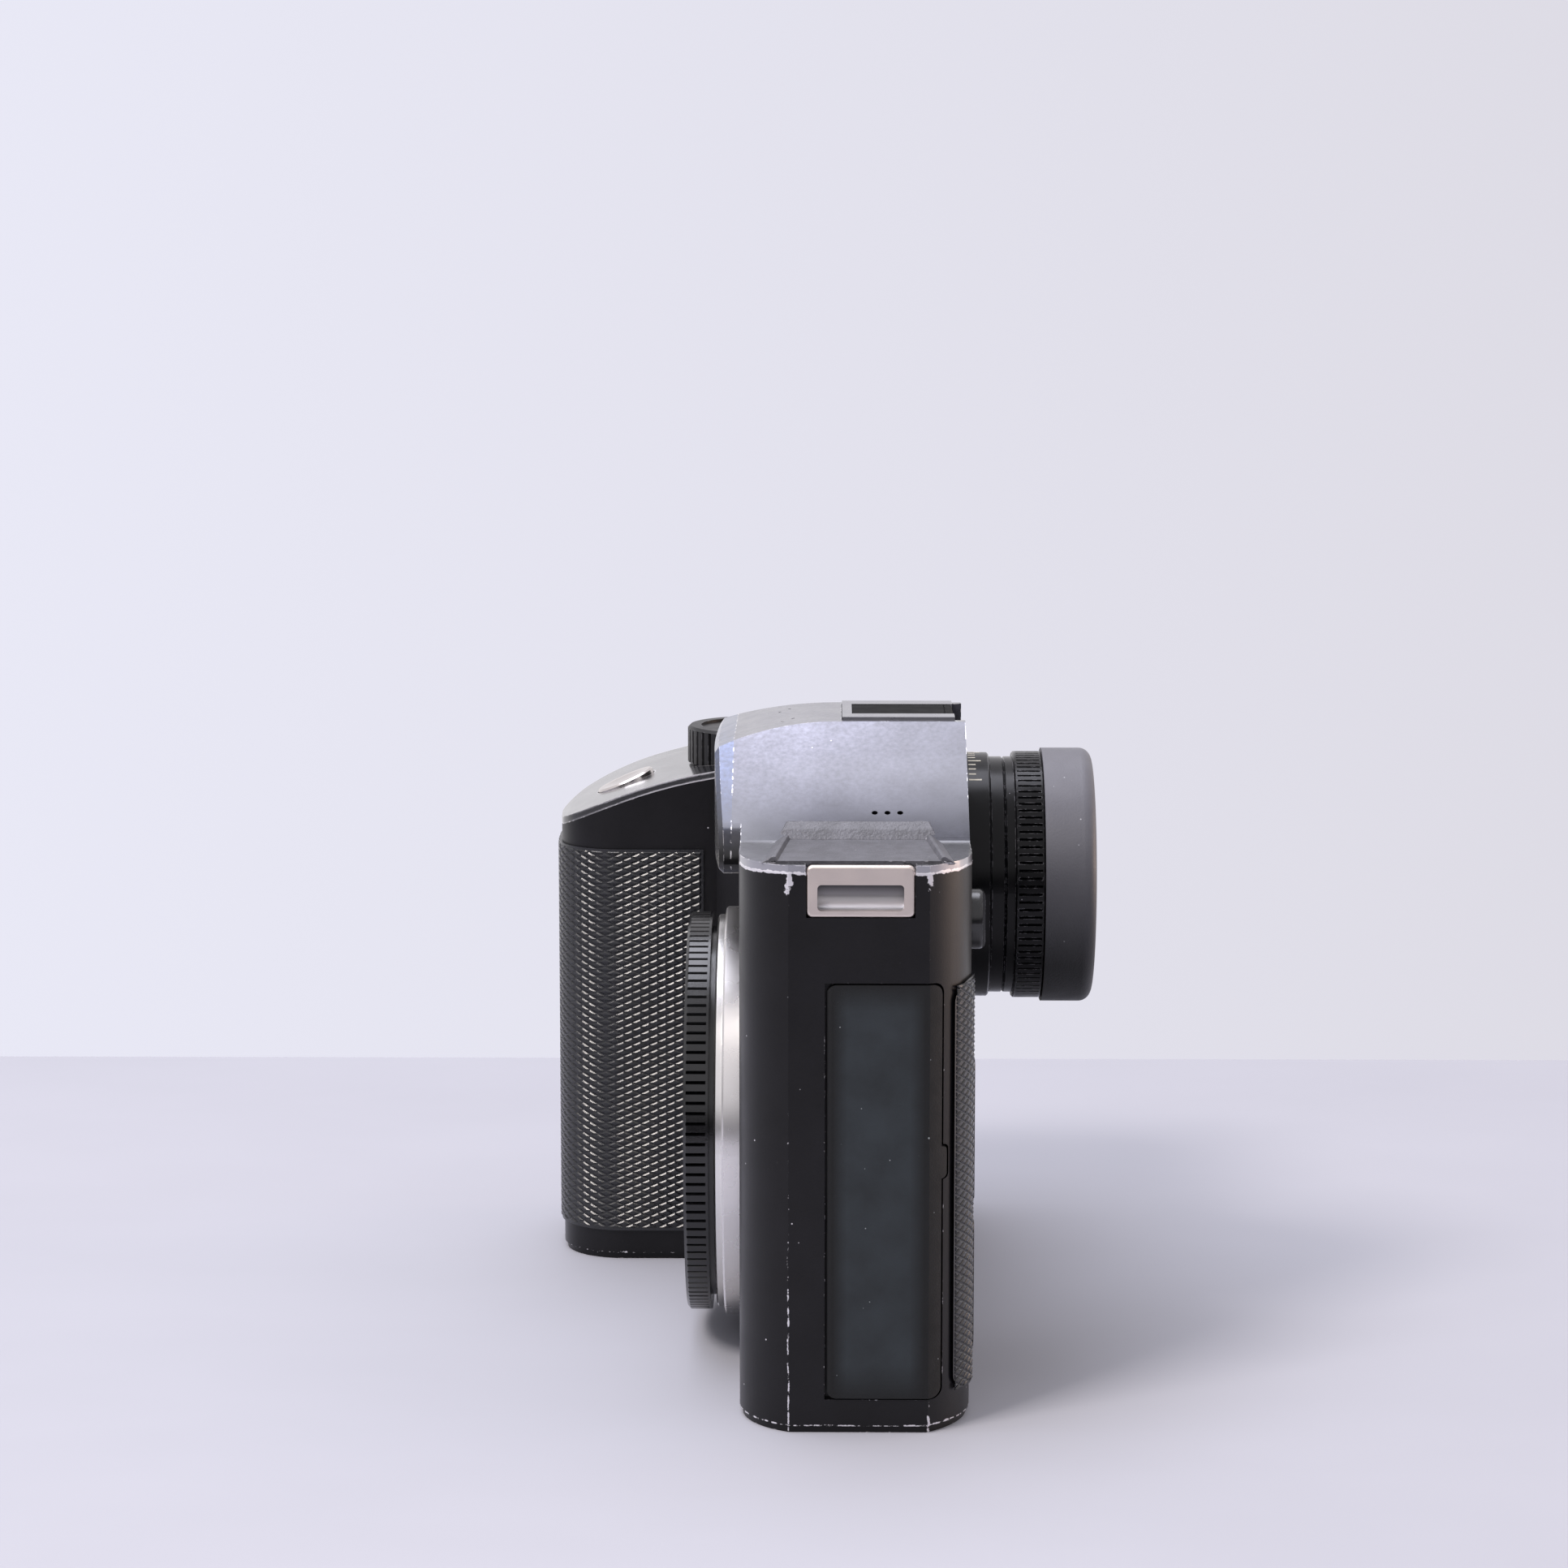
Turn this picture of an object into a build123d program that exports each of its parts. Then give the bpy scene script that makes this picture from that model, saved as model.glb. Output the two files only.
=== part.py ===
from build123d import *
import math
import os

# Mirrorless camera body with its body cap on, all sizes in millimetres.
# +Z is up, -Y is the way the lens points, +X is the user's left.
# The origin is the mouth of the tripod socket, under the lens axis.

# Housing, plan
LEFT_X = 61.0
RIGHT_X = -86.0
FRONT_Y = -17.9
REAR_Y = 17.9
CREASE_FRONT_Y = -10.2
CREASE_REAR_Y = 11.2
CORNER_FRONT_X = 48.5
CORNER_FRONT_R = 13.6
CORNER_REAR_X = 49.0
CORNER_REAR_R = 17.0
REAR_RIGHT_R = 9.0
WALL = 2.0

# Grip, plan
GRIP_NEAR_X = -43.7
GRIP_BOW_X = -66.0
GRIP_FRONT_Y = -52.3
GRIP_NEAR_FALL = 1.1
GRIP_FAR_FALL = 5.2
GRIP_ROOT_R = 6.0
GRIP_NEAR_R = 11.0
GRIP_BOW_R = 40.0
GRIP_FAR_R = 14.0

# Housing, heights
BASE_T = 1.1
DECK_Z = 88.4
LID_T = 1.3
LID_PLUG = 1.0
BASE_PLUG = 1.2
BASE_INSET = 0.5
SEAT_GAP = 0.1
WALL_REACH = 40.0
PAST = 1.0
RUN_OUT = 8.0

# Fall of the deck over the grip, measured down from the deck
SLOPE_TOP_Y = -21.4
SLOPE_SHOULDER_Y = -24.5
SLOPE_SHOULDER_DROP = 0.6
SLOPE_MID_Y = -38.2
SLOPE_MID_DROP = 4.05
SLOPE_TOE_INSET = 1.7
SLOPE_TOE_DROP = 9.4
SLOPE_TOE_FALL = 0.62

# Finder hump
HUMP_H = 15.6
HUMP_TOP_HALF = 12.4
HUMP_FOOT_HALF = 38.8
HUMP_FLAT_Y = -3.0
HUMP_SEAM_Y = -19.4
HUMP_SEAM_FALL = 2.55
HUMP_ROOF = 6.4
HUMP_WALL = 4.2
HUMP_CAVITY_HALF = 34.0
NOSE_HALF = 38.2
NOSE_SIDE_H = 5.552
NOSE_SIDE_R = 7.0
NOSE_CORNER_R = 1.2
NOSE_FRONT_Y = -22.8
NOSE_FRONT_FALL = 1.6
NOSE_SLOPE = 0.36
NOSE_WALL = 1.8
NOSE_CHAMFER = 0.7
NOSE_HOLLOW = 1.0

# Antenna window on the left deck
PAD_PROUD = 0.3
PAD_LEFT_X = 58.5
PAD_RIGHT_X = 36.4
PAD_HALF_WIDE = 12.6
PAD_HALF_NARROW = 10.8
PAD_Y = 0.45
PAD_SKIRT = 2.2
PAD_RAMP_RUN = 1.4
PAD_RAMP_RISE = 1.9
PAD_T = 0.9
PAD_BORDER = 0.25

# Microphone and speaker holes in the hump
MIC_R = 0.3
MIC_DEPTH = 1.0
MIC_PLACES = [(-5.7, -12.3), (-7.9, -10.7), (7.1, -11.7), (5.2, -10.0)]
SPEAKER_X = 32.5
SPEAKER_YS = [3.1, 5.1, 7.1]
SPEAKER_R = 0.475
SPEAKER_DEPTH = 1.2

# Share of each pitch that half a knurl groove takes, on fine and on coarse knurls
KNURL_NARROW = 0.34
KNURL_WIDE = 0.4

# Lens mount
MOUNT_Z = 37.1
MOUNT_BASE_R = 33.9
MOUNT_BASE_Y = -21.1
MOUNT_RING_R = 32.6
FLANGE_Y = -22.4
THROAT_R = 25.8
CHANNEL_R = 27.3
MOUNT_SPIGOT_R = 28.4
CLAW_T = 1.6
CLAW_COUNT = 4
CLAW_FIRST = 45.0
CLAW_ROOT = 0.5
MOUNT_EDGE = 0.3
CLAW_ARC = 46.0
THROAT_FRONT_Y = -18.2
MOUNT_SCREW_ORBIT = 30.1
MOUNT_SCREW_FIRST = 18.0
MOUNT_SCREWS = 4
CONTACT_ARC = 32.0
CONTACT_INNER_R = 21.6
CONTACT_OUTER_R = 25.2
CONTACT_SINK = 0.2
CONTACT_PIN_R = 0.7
CONTACT_COUNT = 10
LOCK_PIN_R = 1.2
LOCK_PIN_ORBIT = 30.0
LOCK_PIN_ANGLE = 221.0
LOCK_PIN_PROUD = 1.0
RELEASE_ORBIT = 41.9
RELEASE_R = 3.6
RELEASE_PROUD = 2.2
RELEASE_LINK_R = 1.5
RELEASE_LINK_T = 1.2
PIN_GAP = 0.05
FLANGE_TO_SENSOR = 20.0

# Body cap
CAP_R = 33.0
CAP_NECK_R = 30.6
CAP_FRONT_Y = -27.25
CAP_RIM_BACK_Y = -23.3
CAP_BOSS_R = 25.3
CAP_BOSS_WALL = 2.0
CAP_BOSS_Y = -18.7
CAP_TAB_R = 27.0
CAP_TAB_T = 1.5
CAP_TAB_GAP = 0.3
CAP_TAB_ARC = 34.0
CAP_RIBS = 126
CAP_RIB_START = 0.4
CAP_RIB_DEPTH = 0.55
CAP_DISH_R = 28.5
CAP_DISH = 0.5

# Eyepiece
EYE_DROP = 27.0
EYE_SCALE_R = 20.13
EYE_SCALE_BACK_Y = 22.05
EYE_NECK_R = 19.45
EYE_NECK_BACK_Y = 25.95
EYE_GROOVE_Y = 24.4
EYE_GRIP_R = 20.33
EYE_GRIP_BACK_Y = 30.77
EYE_GRIP_RIBS = 100
EYE_RIB_DEPTH = 0.5
EYE_SLEEVE_R = 17.0
EYE_BARREL_R = 14.6
EYE_BARREL_WALL = 1.4
EYE_BARREL_FRONT_Y = 9.0
EYE_WEB_T = 0.5
EYE_BARREL_BACK_Y = 30.2
EYE_HOLE_R = 15.0
EYE_RUN_GAP = 0.06
EYE_STEP_GAP = 0.12
EYE_EDGE = 0.25
EYE_LENS_T = 3.2
EYE_LENS_BULGE = 1.0
EYE_SLEEVE_BORE_R = 15.2
CUP_R = 20.9
CUP_BACK_Y = 39.0
CUP_LIP = 4.6
CUP_WALL = 3.2
CUP_FLOOR = 2.2
CUP_SIGHT_R = 12.6
CUP_ROUND = 2.0

# Electronic finder inside the hump
FINDER_HALF = 16.5
FINDER_FRONT_Y = -8.5
FINDER_WALL = 1.6

# Hot shoe, to the common accessory foot standard
SHOE_HALF = 10.7
SHOE_FRONT_Y = -2.0
SHOE_BACK_Y = 16.25
SHOE_PROUD = 0.5
SHOE_LIP_T = 1.5
SHOE_SLOT_H = 2.1
SHOE_SLOT_HALF = 9.35
SHOE_GAP_HALF = 6.25
SHOE_PLATE_T = 1.2
SHOE_STOP = 1.6
SHOE_COVER_GAP = 0.1
SHOE_CONTACT_R = 0.9
SHOE_CONTACT_T = 0.5
SHOE_CONTACTS = [(0.0, 5.5), (3.6, 2.4), (3.6, 8.6), (-3.6, 2.4), (-3.6, 8.6)]
SHOE_COVER_SEAM_Y = 14.7
SHOE_COVER_SEAM = 0.2
SHOE_COVER_ROUND = 0.8

# Shutter button and top dial
SHUTTER_X = -62.0
SHUTTER_Y = -40.7
SHUTTER_R = 5.3
SHUTTER_TRAVEL = 0.9
SHUTTER_PROUD = 0.6
SHUTTER_T = 1.8
SHUTTER_STEM_R = 1.5
SHUTTER_GUIDE_R = 7.0
SHUTTER_GUIDE = 5.5
SHUTTER_TILT = 23.7
SHUTTER_CLIP_R = 2.4
SHUTTER_CLIP_T = 0.8
SHUTTER_DISH = 0.3
SHUTTER_DISH_R = 3.6
DIAL_X = -62.0
DIAL_Y = -17.5
DIAL_R = 12.0
DIAL_SINK = 1.1
DIAL_H = 6.5
DIAL_RIBS = 44
DIAL_RIB_DEPTH = 0.6
DIAL_SHAFT_R = 3.0
DIAL_SHAFT_OVER = 1.5
DIAL_POCKET_GAP = 0.4
DIAL_FLOOR_GAP = 0.1
DIAL_EDGE = 0.5
DIAL_RIM = 2.4
BUTTON_GAP = 0.15
BUTTON_EDGE = 0.2
SHAFT_GAP = 0.03

# Top display and the two function buttons beside it
TOP_WINDOW_X = -63.0
TOP_WINDOW_Y = 6.0
TOP_WINDOW_W = 30.0
TOP_WINDOW_D = 15.0
TOP_WINDOW_T = 1.0
TOP_WINDOW_LEDGE = 1.4
TOP_WINDOW_CORNER_R = 1.0
TOP_BUTTON_X = -43.9
TOP_BUTTON_FRONT_Y = 0.5
TOP_BUTTON_PITCH = 10.5
TOP_BUTTON_R = 2.4
TOP_BUTTON_PROUD = 0.7

# Rear thumbwheel, lying flat under the deck
WHEEL_X = -62.0
WHEEL_R = 11.0
WHEEL_PROUD = 1.9
WHEEL_DROP = 3.6
WHEEL_T = 4.6
WHEEL_RIBS = 40
WHEEL_RIB_DEPTH = 0.5
WHEEL_AXLE_R = 2.0
WHEEL_SLOT_GAP = 0.4
WHEEL_SHELF_T = 1.4
WHEEL_SHELF_GAP = 0.2
WHEEL_SHELF_HALF = 9.0
WHEEL_SHELF_FRONT_Y = 3.0

# Rear panel and monitor
PANEL_LEFT_X = 48.6
PANEL_RIGHT_X = -76.5
PANEL_BOTTOM_Z = 4.4
PANEL_DROP = 18.6
PANEL_T = 1.3
PANEL_LEDGE = 1.6
PANEL_CORNER_R = 3.0
PANEL_NOTCH_GAP = 0.6
MONITOR_Z = 30.5
MONITOR_W = 74.0
MONITOR_H = 45.0
MONITOR_CORNER_R = 2.0
MONITOR_GLASS_T = 1.2
MONITOR_PROUD = 0.4
MONITOR_EDGE = 1.5
LCD_T = 2.6
LCD_INSET = 0.5

# Four long buttons round the monitor
LONG_BUTTON_W = 3.4
LONG_BUTTON_GAP = 2.2
LONG_BUTTON_MARGIN = 2.5
LONG_BUTTON_UPPER_Z = 44.1
LONG_BUTTON_UPPER_H = 22.4
LONG_BUTTON_LOWER_Z = 19.4
LONG_BUTTON_LOWER_H = 20.6
LONG_BUTTON_PROUD = 0.8
LONG_BUTTON_FOOT = 0.7

# Joystick
STICK_SIDE = 11.4
STICK_DROP = 8.2
STICK_CAP_R = 4.0
STICK_CAP_T = 1.9
STICK_LIFT = 1.5
STICK_STEM_R = 1.4
STICK_HOLE_R = 3.2
STICK_PIVOT_Y = 13.2
STICK_ROOM = 0.5
STICK_BLIND = 1.2
STICK_CAP_DISH_R = 2.8
STICK_CASE_HALF = 6.4
STICK_CASE_WALL = 1.2
STICK_RING_HALF = 4.5
STICK_RING_WALL = 1.2
STICK_RING_T = 3.0
STICK_HUB_HALF = 2.6
STICK_HUB_T = 2.4
STICK_PIN_R = 0.55
STICK_PIN_GAP = 0.05

# Main switch and the finder button
SWITCH_X = 40.0
SWITCH_DROP = 11.8
SWITCH_R = 4.7
SWITCH_BACK_Y = 20.3
SWITCH_SHAFT_R = 1.6
SWITCH_DOME = 1.0
SWITCH_RIDGE_W = 1.2
SWITCH_GROOVE = 0.5
SWITCH_SHAFT_OVER = 1.0
FINDER_BUTTON_X = -27.6
FINDER_BUTTON_DROP = 9.4
FINDER_BUTTON_R = 2.4
FINDER_BUTTON_PROUD = 0.8
BUTTON_FOOT_T = 1.0
BUTTON_FOOT_RIM = 0.8
BUTTON_DISH = 0.15

# Coverings
COVER_T = 0.45
COVER_BOTTOM_Z = 5.3
GRIP_COVER_DROP = 14.4
GRIP_COVER_BACK_Y = -26.2
GRIP_COVER_FAR_Y = -16.0
REAR_COVER_DROP = 18.7
REAR_COVER_WRAP_Y = 15.2
REAR_COVER_RIGHT_X = 48.9
REAR_COVER_CORNER_R = 3.0
THUMB_GAP = 4.5
THUMB_TOP_Z = 54.0
THUMB_T = 1.0
THUMB_WRAP_Y = 10.5

# Strap lugs in the upper ends of the side faces
LUG_Y = 0.75
LUG_W = 16.5
LUG_SINK = 0.05
LUG_H = 8.0
LUG_DEPTH = 4.0
LUG_CORNER_R = 1.0
LUG_BAR_T = 1.1
LUG_BAR_ROUND = 0.5
LUG_SLOT_W = 13.1
LUG_SILL = 1.05
LUG_SLOT_H = 4.0
LUG_THROAT = 1.4
LUG_SCOOP_R = 2.2
LUG_SLOT_CORNER_R = 0.6
LUG_SHADOW = 0.1

# Port door and the sockets behind it
PORT_FRONT_Y = -4.4
PORT_BACK_Y = 13.2
PORT_BOTTOM_Z = 5.55
PORT_DROP = 18.35
PORT_T = 1.6
PORT_PROUD = 0.3
PORT_GAP = 0.25
DOOR_SEAT = 0.05
PORT_CORNER_R = 1.6
PORT_TAB_Z = 42.3
PORT_TAB_H = 5.0
PORT_TAB_W = 0.8
PORT_RIM = 2.0
PORT_LAP = 1.0
PORT_FACE_T = 1.2
PORT_STAND = 0.4
PORT_BLOCK_T = 7.0
PORT_MID_Y = 3.6
JACK_UPPER_Z = 61.0
JACK_LOWER_Z = 51.0
HDMI_Z = 34.0
USB_Z = 17.0
HDMI_W = 5.6
HDMI_H = 15.0
USB_W = 3.4
USB_H = 9.2
JACK_R = 3.0
JACK_BORE_R = 1.8
SHELL_T = 0.35
TONGUE_T = 0.7
TONGUE_SHARE = 0.7
HDMI_CORNER = 1.85

# Card door and card slots
CARD_FRONT_Y = -14.0
CARD_BACK_Y = 8.0
CARD_BOTTOM_Z = 24.0
CARD_TOP_Z = 62.0
CARD_DOOR_T = 1.4
CARD_CORNER_R = 1.2
CARD_GAP = 0.2
CARD_PIN_R = 0.4
CARD_PIN_OVER = 2.4
CARD_HOLE_MARGIN = 2.4
SD_W = 24.4
SD_T = 2.4
SD_PITCH = 6.2
SD_LENGTH = 33.0
SD_WALL = 0.6
SD_SETBACK = 0.4

# Battery, with the piece of base that comes out with it
BAY_WALL = 1.0
BAY_BACK_Y = -23.6
BATTERY_GAP = 0.2
BATTERY_DROP = 27.4
BATTERY_COVER_RIM = 0.7
BATTERY_ROOM = 2.0
BATTERY_CONTACT_T = 1.7
BATTERY_CONTACT_W = 24.0
BATTERY_CONTACT_D = 6.0
BATTERY_CONTACT_Y = -38.0
LEVER_X = -37.0
LEVER_Y = -10.5
LEVER_R = 5.0
LEVER_LENGTH = 10.5
LEVER_T = 0.9
LEVER_TIP_R = 2.4
LEVER_PIN_R = 1.1
LEVER_GAP = 0.25
LEVER_REST = 0.1
LEVER_SWEEP = 40.0

# Base
SOCKET_R = 2.56
SOCKET_LENGTH = 5.5
SOCKET_BUSH_R = 5.5
SOCKET_FLANGE_R = 7.5
SOCKET_FLANGE_T = 1.2
SOCKET_END_T = 1.0
BASE_BOSS_R = 2.4
BASE_BOSS_TOP_Z = 9.0
BASE_SCREW_INSET = 3.6
BASE_SCREW_FRONT_X = 20.0
BASE_SCREW_REAR_X = -18.0
BASE_SCREW_CORNER_IN = 4.5
BASE_SCREW_CORNER_X = 52.0
BASE_SCREW_SIDE_Y = -8.0
BASE_SCREW_RIGHT_YS = [4.0, -14.0]

# Small screws, the same kind in the mount and the base
SCREW_HEAD_R = 1.6
SCREW_HEAD_T = 0.9
SCREW_SHANK_R = 0.8
SCREW_LENGTH = 7.0
SCREW_GAP = 0.1
SCREW_CROSS_W = 0.45
SCREW_CROSS_L = 1.7
SCREW_CROSS_DEEP = 0.5
WALL_BITE = 0.4

# Imaging stack, from the front
BAFFLE_T = 1.6
GATE_HALF_X = 18.4
GATE_HALF_Z = 12.4
SHUTTER_UNIT_T = 5.0
SHUTTER_HALF_X = 25.0
SHUTTER_BELOW = 15.2
SHUTTER_ABOVE = 23.0
SHUTTER_FRAME_T = 1.2
BLADE_T = 0.3
BLADE_H = 8.8
BLADE_LAP = 1.2
BLADE_COUNT = 3
BLADE_ROOM = 0.3
SENSOR_HALF_X = 21.0
SENSOR_HALF_Z = 17.0
SENSOR_T = 2.2
FILTER_T = 1.2
FILTER_LIFT = 0.8
FILTER_LAP = 1.0
CARRIER_T = 1.4
CARRIER_HALF_X = 25.0
CARRIER_HALF_Z = 20.0
CARRIER_POST_R = 1.6
CARRIER_POST_X = 23.2
CARRIER_POST_Z = 12.0
POST_R = 2.0
BOARD_T = 1.2
BOARD_Y = 5.2
BOARD_RIGHT_X = -74.0
BOARD_LEFT_X = 44.0
BOARD_BOTTOM_Z = 8.0
BOARD_TOP_Z = 59.5
BOARD_POSTS = [(34.0, 12.0), (34.0, 56.0), (-34.5, 56.0), (-20.0, 10.0)]
CHIP_T = 1.4
CHIPS = [(10.0, 36.0, 16.0), (-14.0, 30.0, 12.0), (28.0, 26.0, 9.0), (-34.0, 40.0, 11.0)]


def span(x0, x1, y0, y1, z0, z1):
    """Box from its low corner to its high corner."""
    centre = Pos((x0 + x1) / 2, (y0 + y1) / 2, (z0 + z1) / 2)
    return centre * Box(x1 - x0, y1 - y0, z1 - z0)


def tier(sketch, z0, z1):
    """Plan sketch, extruded from one height to another."""
    return extrude(Pos(0, 0, z0) * sketch, z1 - z0)


def slab(sketch, y0, y1):
    """Front-view sketch in X and Z, extruded from y0 back to y1."""
    plane = Plane(origin=(0, y1, 0), x_dir=(1, 0, 0), z_dir=(0, -1, 0))
    return extrude(plane * sketch, y1 - y0)


def rail(sketch, x0, x1):
    """Side-view sketch in Y and Z, extruded from x0 to x1."""
    plane = Plane(origin=(x0, 0, 0), x_dir=(0, 1, 0), z_dir=(1, 0, 0))
    return extrude(plane * sketch, x1 - x0)


def disc(radius, y0, y1, x=0.0, z=0.0):
    """Round bar along Y."""
    return slab(Pos(x, z) * Circle(radius), y0, y1)


def post(radius, z0, z1, x=0.0, y=0.0):
    """Round bar along Z."""
    return tier(Pos(x, y) * Circle(radius), z0, z1)


def bar(radius, x0, x1, y=0.0, z=0.0):
    """Round bar along X."""
    return rail(Pos(y, z) * Circle(radius), x0, x1)


def turned(points, z):
    """Solid of revolution about the Y axis at height z, from (radius, y) points."""
    outline = make_face(Polyline(*points, close=True))
    return Pos(0, 0, z) * revolve(outline, Axis.Y)


def knurl(radius, depth, count, width_share=KNURL_NARROW):
    """Ring of V-shaped grooves to take out of a knurled rim, as a sketch."""
    half = math.pi * radius / count * width_share
    groove = Polygon((radius + depth, -2 * half), (radius + depth, 2 * half), (radius - depth, 0),
                     align=None)
    return Sketch() + [place * groove for place in PolarLocations(0, count)]


def save(shape, name):
    """Write one sub-part to its own file."""
    shape.label = name
    export_step(shape, "parts/" + name + ".step")


def housing_outline(inset=0.0):
    """Plan of the housing: creased left side, grip swelling out at the right."""
    far_corner_y = GRIP_FRONT_Y + GRIP_FAR_FALL
    right_side = FilletPolyline(
        (CORNER_FRONT_X, FRONT_Y),
        (GRIP_NEAR_X, FRONT_Y),
        (GRIP_NEAR_X, GRIP_FRONT_Y + GRIP_NEAR_FALL),
        (GRIP_BOW_X, GRIP_FRONT_Y),
        (RIGHT_X, far_corner_y),
        (RIGHT_X, REAR_Y),
        (CORNER_REAR_X, REAR_Y),
        radius=[GRIP_ROOT_R, GRIP_NEAR_R, GRIP_BOW_R, GRIP_FAR_R, REAR_RIGHT_R],
    )
    rear_corner = RadiusArc((CORNER_REAR_X, REAR_Y), (LEFT_X, CREASE_REAR_Y), CORNER_REAR_R)
    side = Line((LEFT_X, CREASE_REAR_Y), (LEFT_X, CREASE_FRONT_Y))
    front_corner = RadiusArc((LEFT_X, CREASE_FRONT_Y), (CORNER_FRONT_X, FRONT_Y), CORNER_FRONT_R)
    outline = make_face(right_side + rear_corner + side + front_corner)
    return outline if inset == 0 else offset(outline, -inset, kind=Kind.INTERSECTION)


def under_deck(drop=0.0):
    """Everything below the deck and the slope over the grip, lowered by a drop."""
    toe_y = GRIP_FRONT_Y + SLOPE_TOE_INSET
    toe_z = DECK_Z - SLOPE_TOE_DROP
    shoulder = (SLOPE_SHOULDER_Y, DECK_Z - SLOPE_SHOULDER_DROP)
    ahead = (toe_y - RUN_OUT, toe_z - RUN_OUT * SLOPE_TOE_FALL)
    floor_z = -RUN_OUT
    behind_y = REAR_Y + RUN_OUT
    edge = Polyline((ahead[0], floor_z), (behind_y, floor_z), (behind_y, DECK_Z),
                    (SLOPE_TOP_Y, DECK_Z), shoulder)
    slope = ThreePointArc(shoulder, (SLOPE_MID_Y, DECK_Z - SLOPE_MID_DROP), (toe_y, toe_z))
    front = Polyline((toe_y, toe_z), ahead, (ahead[0], floor_z))
    return rail(Pos(0, -drop) * make_face(edge + slope + front), RIGHT_X - RUN_OUT, LEFT_X + RUN_OUT)


def hump_half(z):
    """Half-width of the hump's sloping flanks at a height."""
    return HUMP_TOP_HALF + HUMP_SPREAD * (HUMP_TOP_Z - z)


def under_hump_top(drop=0.0):
    """Everything below the hump's roof, which curves down to the nose."""
    mid_y = (HUMP_FLAT_Y + HUMP_SEAM_Y) / 2
    seam_z = HUMP_TOP_Z - HUMP_SEAM_FALL
    tip = (HUMP_SEAM_Y - RUN_OUT, seam_z - RUN_OUT * NOSE_SLOPE)
    floor_z = NOSE_BOTTOM_Z - RUN_OUT
    back_y = REAR_Y + RUN_OUT
    roof = Polyline((tip[0], floor_z), (back_y, floor_z), (back_y, HUMP_TOP_Z),
                    (HUMP_FLAT_Y, HUMP_TOP_Z))
    fall = ThreePointArc((HUMP_FLAT_Y, HUMP_TOP_Z), (mid_y, HUMP_TOP_Z - HUMP_SEAM_FALL / 4),
                         (HUMP_SEAM_Y, seam_z))
    nose = Polyline((HUMP_SEAM_Y, seam_z), tip, (tip[0], floor_z))
    return rail(Pos(0, -drop) * make_face(roof + fall + nose), RIGHT_X, LEFT_X)


def nose_outline(inset=0.0):
    """Front view of the hump: sloping flanks turning down into short upright sides."""
    turn = math.atan(HUMP_SPREAD)
    shoulder_r = min(NOSE_SIDE_R, (NOSE_SIDE_H - 1.1 * NOSE_CORNER_R) / math.tan(turn / 2))
    right_half = FilletPolyline(
        (0, NOSE_BOTTOM_Z),
        (NOSE_HALF, NOSE_BOTTOM_Z),
        (NOSE_HALF, NOSE_SHOULDER_Z),
        (HUMP_TOP_HALF, HUMP_TOP_Z),
        radius=[NOSE_CORNER_R, shoulder_r],
    )
    top = Line((HUMP_TOP_HALF, HUMP_TOP_Z), (0, HUMP_TOP_Z))
    spine = Line((0, HUMP_TOP_Z), (0, NOSE_BOTTOM_Z))
    half = make_face(right_half + top + spine)
    whole = half + mirror(half, Plane.YZ)
    return whole if inset == 0 else offset(whole, -inset, kind=Kind.INTERSECTION)


def at_angle(radius, degrees):
    """X offset and Z offset from the lens axis, angle from +X towards +Z."""
    turn = math.radians(degrees)
    return radius * math.cos(turn), radius * math.sin(turn)


def sector(inner, outer, middle, arc):
    """Part of a ring about the origin, centred on an angle from +X."""
    half = math.radians(arc / 2)
    reach = 2 * outer
    wedge = Polygon((0, 0), (reach, -reach * math.tan(half)), (reach, reach * math.tan(half)), align=None)
    ring = Circle(outer) - Circle(inner) if inner > 0 else Circle(outer)
    return ring & (Rot(0, 0, middle) * wedge)


HUMP_TOP_Z = DECK_Z + HUMP_H
HUMP_SPREAD = (HUMP_FOOT_HALF - HUMP_TOP_HALF) / HUMP_H
NOSE_SHOULDER_Z = HUMP_TOP_Z - (NOSE_HALF - HUMP_TOP_HALF) / HUMP_SPREAD
NOSE_BOTTOM_Z = NOSE_SHOULDER_Z - NOSE_SIDE_H
PAD_Z = DECK_Z + PAD_PROUD
EYE_Z = HUMP_TOP_Z - EYE_DROP
SHOE_TOP_Z = HUMP_TOP_Z + SHOE_PROUD
DIAL_BOTTOM_Z = DECK_Z - DIAL_SINK
DIAL_TOP_Z = DIAL_BOTTOM_Z + DIAL_H
WHEEL_TOP_Z = DECK_Z - WHEEL_DROP
PANEL_TOP_Z = DECK_Z - PANEL_DROP
STICK_Z = PANEL_TOP_Z - STICK_DROP
SWITCH_Z = DECK_Z - SWITCH_DROP
FINDER_BUTTON_Z = DECK_Z - FINDER_BUTTON_DROP
GRIP_COVER_TOP_Z = DECK_Z - GRIP_COVER_DROP
REAR_COVER_TOP_Z = DECK_Z - REAR_COVER_DROP
LUG_TOP_Z = DECK_Z - LUG_SINK
LUG_BOTTOM_Z = LUG_TOP_Z - LUG_H
LUG_SLOT_BOTTOM_Z = LUG_BOTTOM_Z + LUG_SILL
LUG_SLOT_TOP_Z = LUG_SLOT_BOTTOM_Z + LUG_SLOT_H
PORT_TOP_Z = DECK_Z - PORT_DROP
BATTERY_TOP_Z = DECK_Z - BATTERY_DROP
LONG_BUTTON_OFFSET = MONITOR_W / 2 + LONG_BUTTON_GAP + LONG_BUTTON_W / 2
MONITOR_X = PANEL_LEFT_X - LONG_BUTTON_MARGIN - LONG_BUTTON_W / 2 - LONG_BUTTON_OFFSET
THUMB_LEFT_X = MONITOR_X - LONG_BUTTON_OFFSET - LONG_BUTTON_W / 2 - THUMB_GAP
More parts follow.
